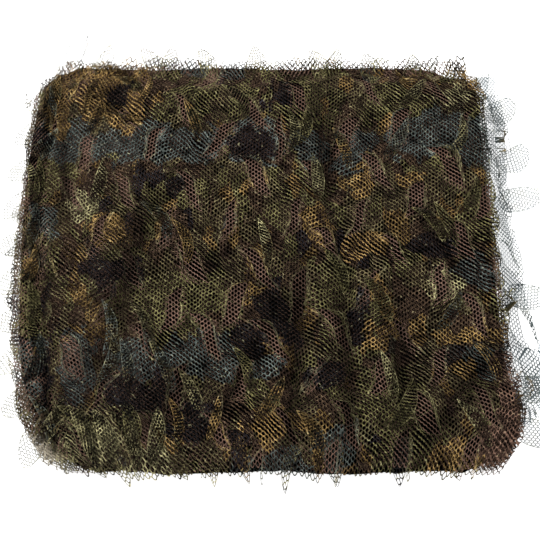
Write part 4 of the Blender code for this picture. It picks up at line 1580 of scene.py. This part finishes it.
def leaf_piece(name, leaves, material, across=8):
    """Many leaves as one mesh, each in its own square of the even UV map."""
    parts, start = [], 0
    for number, leaf in enumerate(leaves):
        net, points, own, rim = leaf_net(leaf, number)
        tones = patch_tones(points[:, 0], points[:, 1])
        for kind in tones:
            tones[kind] = tones[kind] * 0.45
        if leaf.kind in tones:
            tones[leaf.kind] = np.full(len(points), 0.75)
        thin = 1.0 if leaf.kind == "pale" else 0.0
        tones["pale"] = np.full(len(points), thin)
        tones["blush"] = np.full(len(points), 0.35 * thin * (leaf.x <= 0.0))
        tones.update(rim=rim, reverse=np.zeros(len(points)), hidden=np.zeros(len(points)))
        tones["covered"] = np.zeros(len(points))
        # Painted shade along one side of each leaf.
        tones["fold"] = 0.5 * np.exp(-(((own[:, 1] + 0.4 * leaf.wide) / (0.3 * leaf.wide)) ** 2))
        corner = np.array([number % across, number // across]) / across
        square = (own / (2.2 * leaf.half) + 0.5) * 0.9 / across + corner
        faces = np.where(net.faces >= 0, net.faces + start, -1)
        parts.append((points, faces, points[:, :2] + 0.31 * number, tones, net.lean, square))
        start += len(points)
    points, faces, flat, _, lean, square = (
        np.concatenate([p[i] for p in parts]) if i != 3 else None for i in range(6)
    )
    tones = {key: np.concatenate([p[3][key] for p in parts]) for key in parts[0][3]}
    return hand_over(make_piece(name, points, faces, flat, tones, {"lean": lean}, material, square))


class NET_OT_leaves(bpy.types.Operator):
    """Make the leaves that curl up on the pack and stick out round its edges"""

    bl_idname = "net.leaves"
    bl_label = "Leaves"

    def execute(self, context):
        paint = finishes()["print"]
        for name, leaves in (("curled_leaves", top_leaves()), ("edge_leaves", edge_leaves())):
            piece = leaf_piece(name, leaves, paint)
            leaf_flat(leaves)
            leaf_area(piece, leaves)
        return {"FINISHED"}


def leaf_flat(leaves):
    """The flat strip that the leaves are cut from side by side, each as long as they are on average."""
    wide = sum(2.0 * leaf.wide for leaf in leaves)
    return (wide, sum(4.0 * leaf.wide * leaf.half for leaf in leaves) / wide)


def leaf_area(piece, leaves):
    wide, long = leaf_flat(leaves)
    return min(max(area_of(piece), 0.3 * wide * long), wide * long)


class NET_OT_stage(bpy.types.Operator):
    """Make the floor, the lights and the camera"""

    bl_idname = "net.stage"
    bl_label = "Stage"

    def execute(self, context):
        scene, studio = context.scene, context.scene.net_studio
        floor_mesh = bpy.data.meshes.new("floor")
        half = 3.0
        corners = [(-half, -half, 0), (half, -half, 0), (half, half, 0), (-half, half, 0)]
        floor_mesh.from_pydata(corners, [], [(0, 1, 2, 3)])
        floor = bpy.data.objects.new("floor", floor_mesh)
        scene.collection.objects.link(floor)
        floor.location.z = -0.0004
        nodes = Nodes("pale_floor")
        nodes.shader.inputs["Base Color"].default_value = (0.90, 0.90, 0.90, 1.0)
        nodes.shader.inputs["Roughness"].default_value = 0.9
        nodes.shader.inputs["Emission Color"].default_value = (1.0, 1.0, 1.0, 1.0)
        nodes.shader.inputs["Emission Strength"].default_value = studio.floor_glow
        floor_mesh.materials.append(nodes.material)
        world = bpy.data.worlds.new("studio")
        scene.world = world
        world.use_nodes = True
        world.node_tree.nodes["Background"].inputs["Color"].default_value = (1.0, 1.0, 1.0, 1.0)
        world.node_tree.nodes["Background"].inputs["Strength"].default_value = studio.sky
        for name, power, size, place in (
            ("key", studio.key_power, 0.7, (-0.85, 0.55, 1.45)),
            ("fill", studio.fill_power, 1.2, (1.30, -0.30, 1.20)),
        ):
            light = bpy.data.lights.new(name, "AREA")
            light.energy = power
            light.shape = "DISK"
            light.size = size
            lamp = bpy.data.objects.new(name, light)
            scene.collection.objects.link(lamp)
            lamp.location = place
            aim = Vector((0, 0, 0.02)) - lamp.location
            lamp.rotation_euler = aim.to_track_quat("-Z", "Y").to_euler()
        target = Vector((strip().shift[0], strip().shift[1], 0.02))
        rise = studio.view_rise
        view = bpy.data.cameras.new("view")
        view.lens = studio.lens
        view.sensor_width = 36.0
        camera = bpy.data.objects.new("view", view)
        scene.collection.objects.link(camera)
        camera.location = target + studio.view_distance * Vector((0.0, -math.cos(rise), math.sin(rise)))
        camera.rotation_euler = (math.pi / 2 - rise, 0.0, 0.0)
        scene.camera = camera
        scene.view_settings.view_transform = "Standard"
        return {"FINISHED"}


class NET_PT_maker(bpy.types.Panel):
    """The parts of the folded net, in the order in which they are made"""

    bl_idname = "NET_PT_maker"
    bl_label = "Folded net"
    bl_space_type = "VIEW_3D"
    bl_region_type = "UI"
    bl_category = "Camouflage Net"

    def draw(self, context):
        for maker in MAKERS:
            self.layout.operator(maker.bl_idname)


MAKERS = (NET_OT_bottom, NET_OT_inner, NET_OT_top, NET_OT_leaves, NET_OT_stage)
SETTINGS = {"net_cloth": NET_cloth, "net_colours": NET_colours, "net_studio": NET_studio}
CLASSES = (*SETTINGS.values(), *MAKERS, NET_PT_maker)


def register():
    for item in CLASSES:
        bpy.utils.register_class(item)
    for name, group in SETTINGS.items():
        setattr(bpy.types.Scene, name, bpy.props.PointerProperty(type=group))


def unregister():
    for name in SETTINGS:
        delattr(bpy.types.Scene, name)
    for item in reversed(CLASSES):
        bpy.utils.unregister_class(item)


def main():
    register()
    bpy.ops.net.bottom()
    bpy.ops.net.inner()
    bpy.ops.net.top()
    bpy.ops.net.leaves()
    bpy.ops.net.stage()


if __name__ == "__main__":
    main()
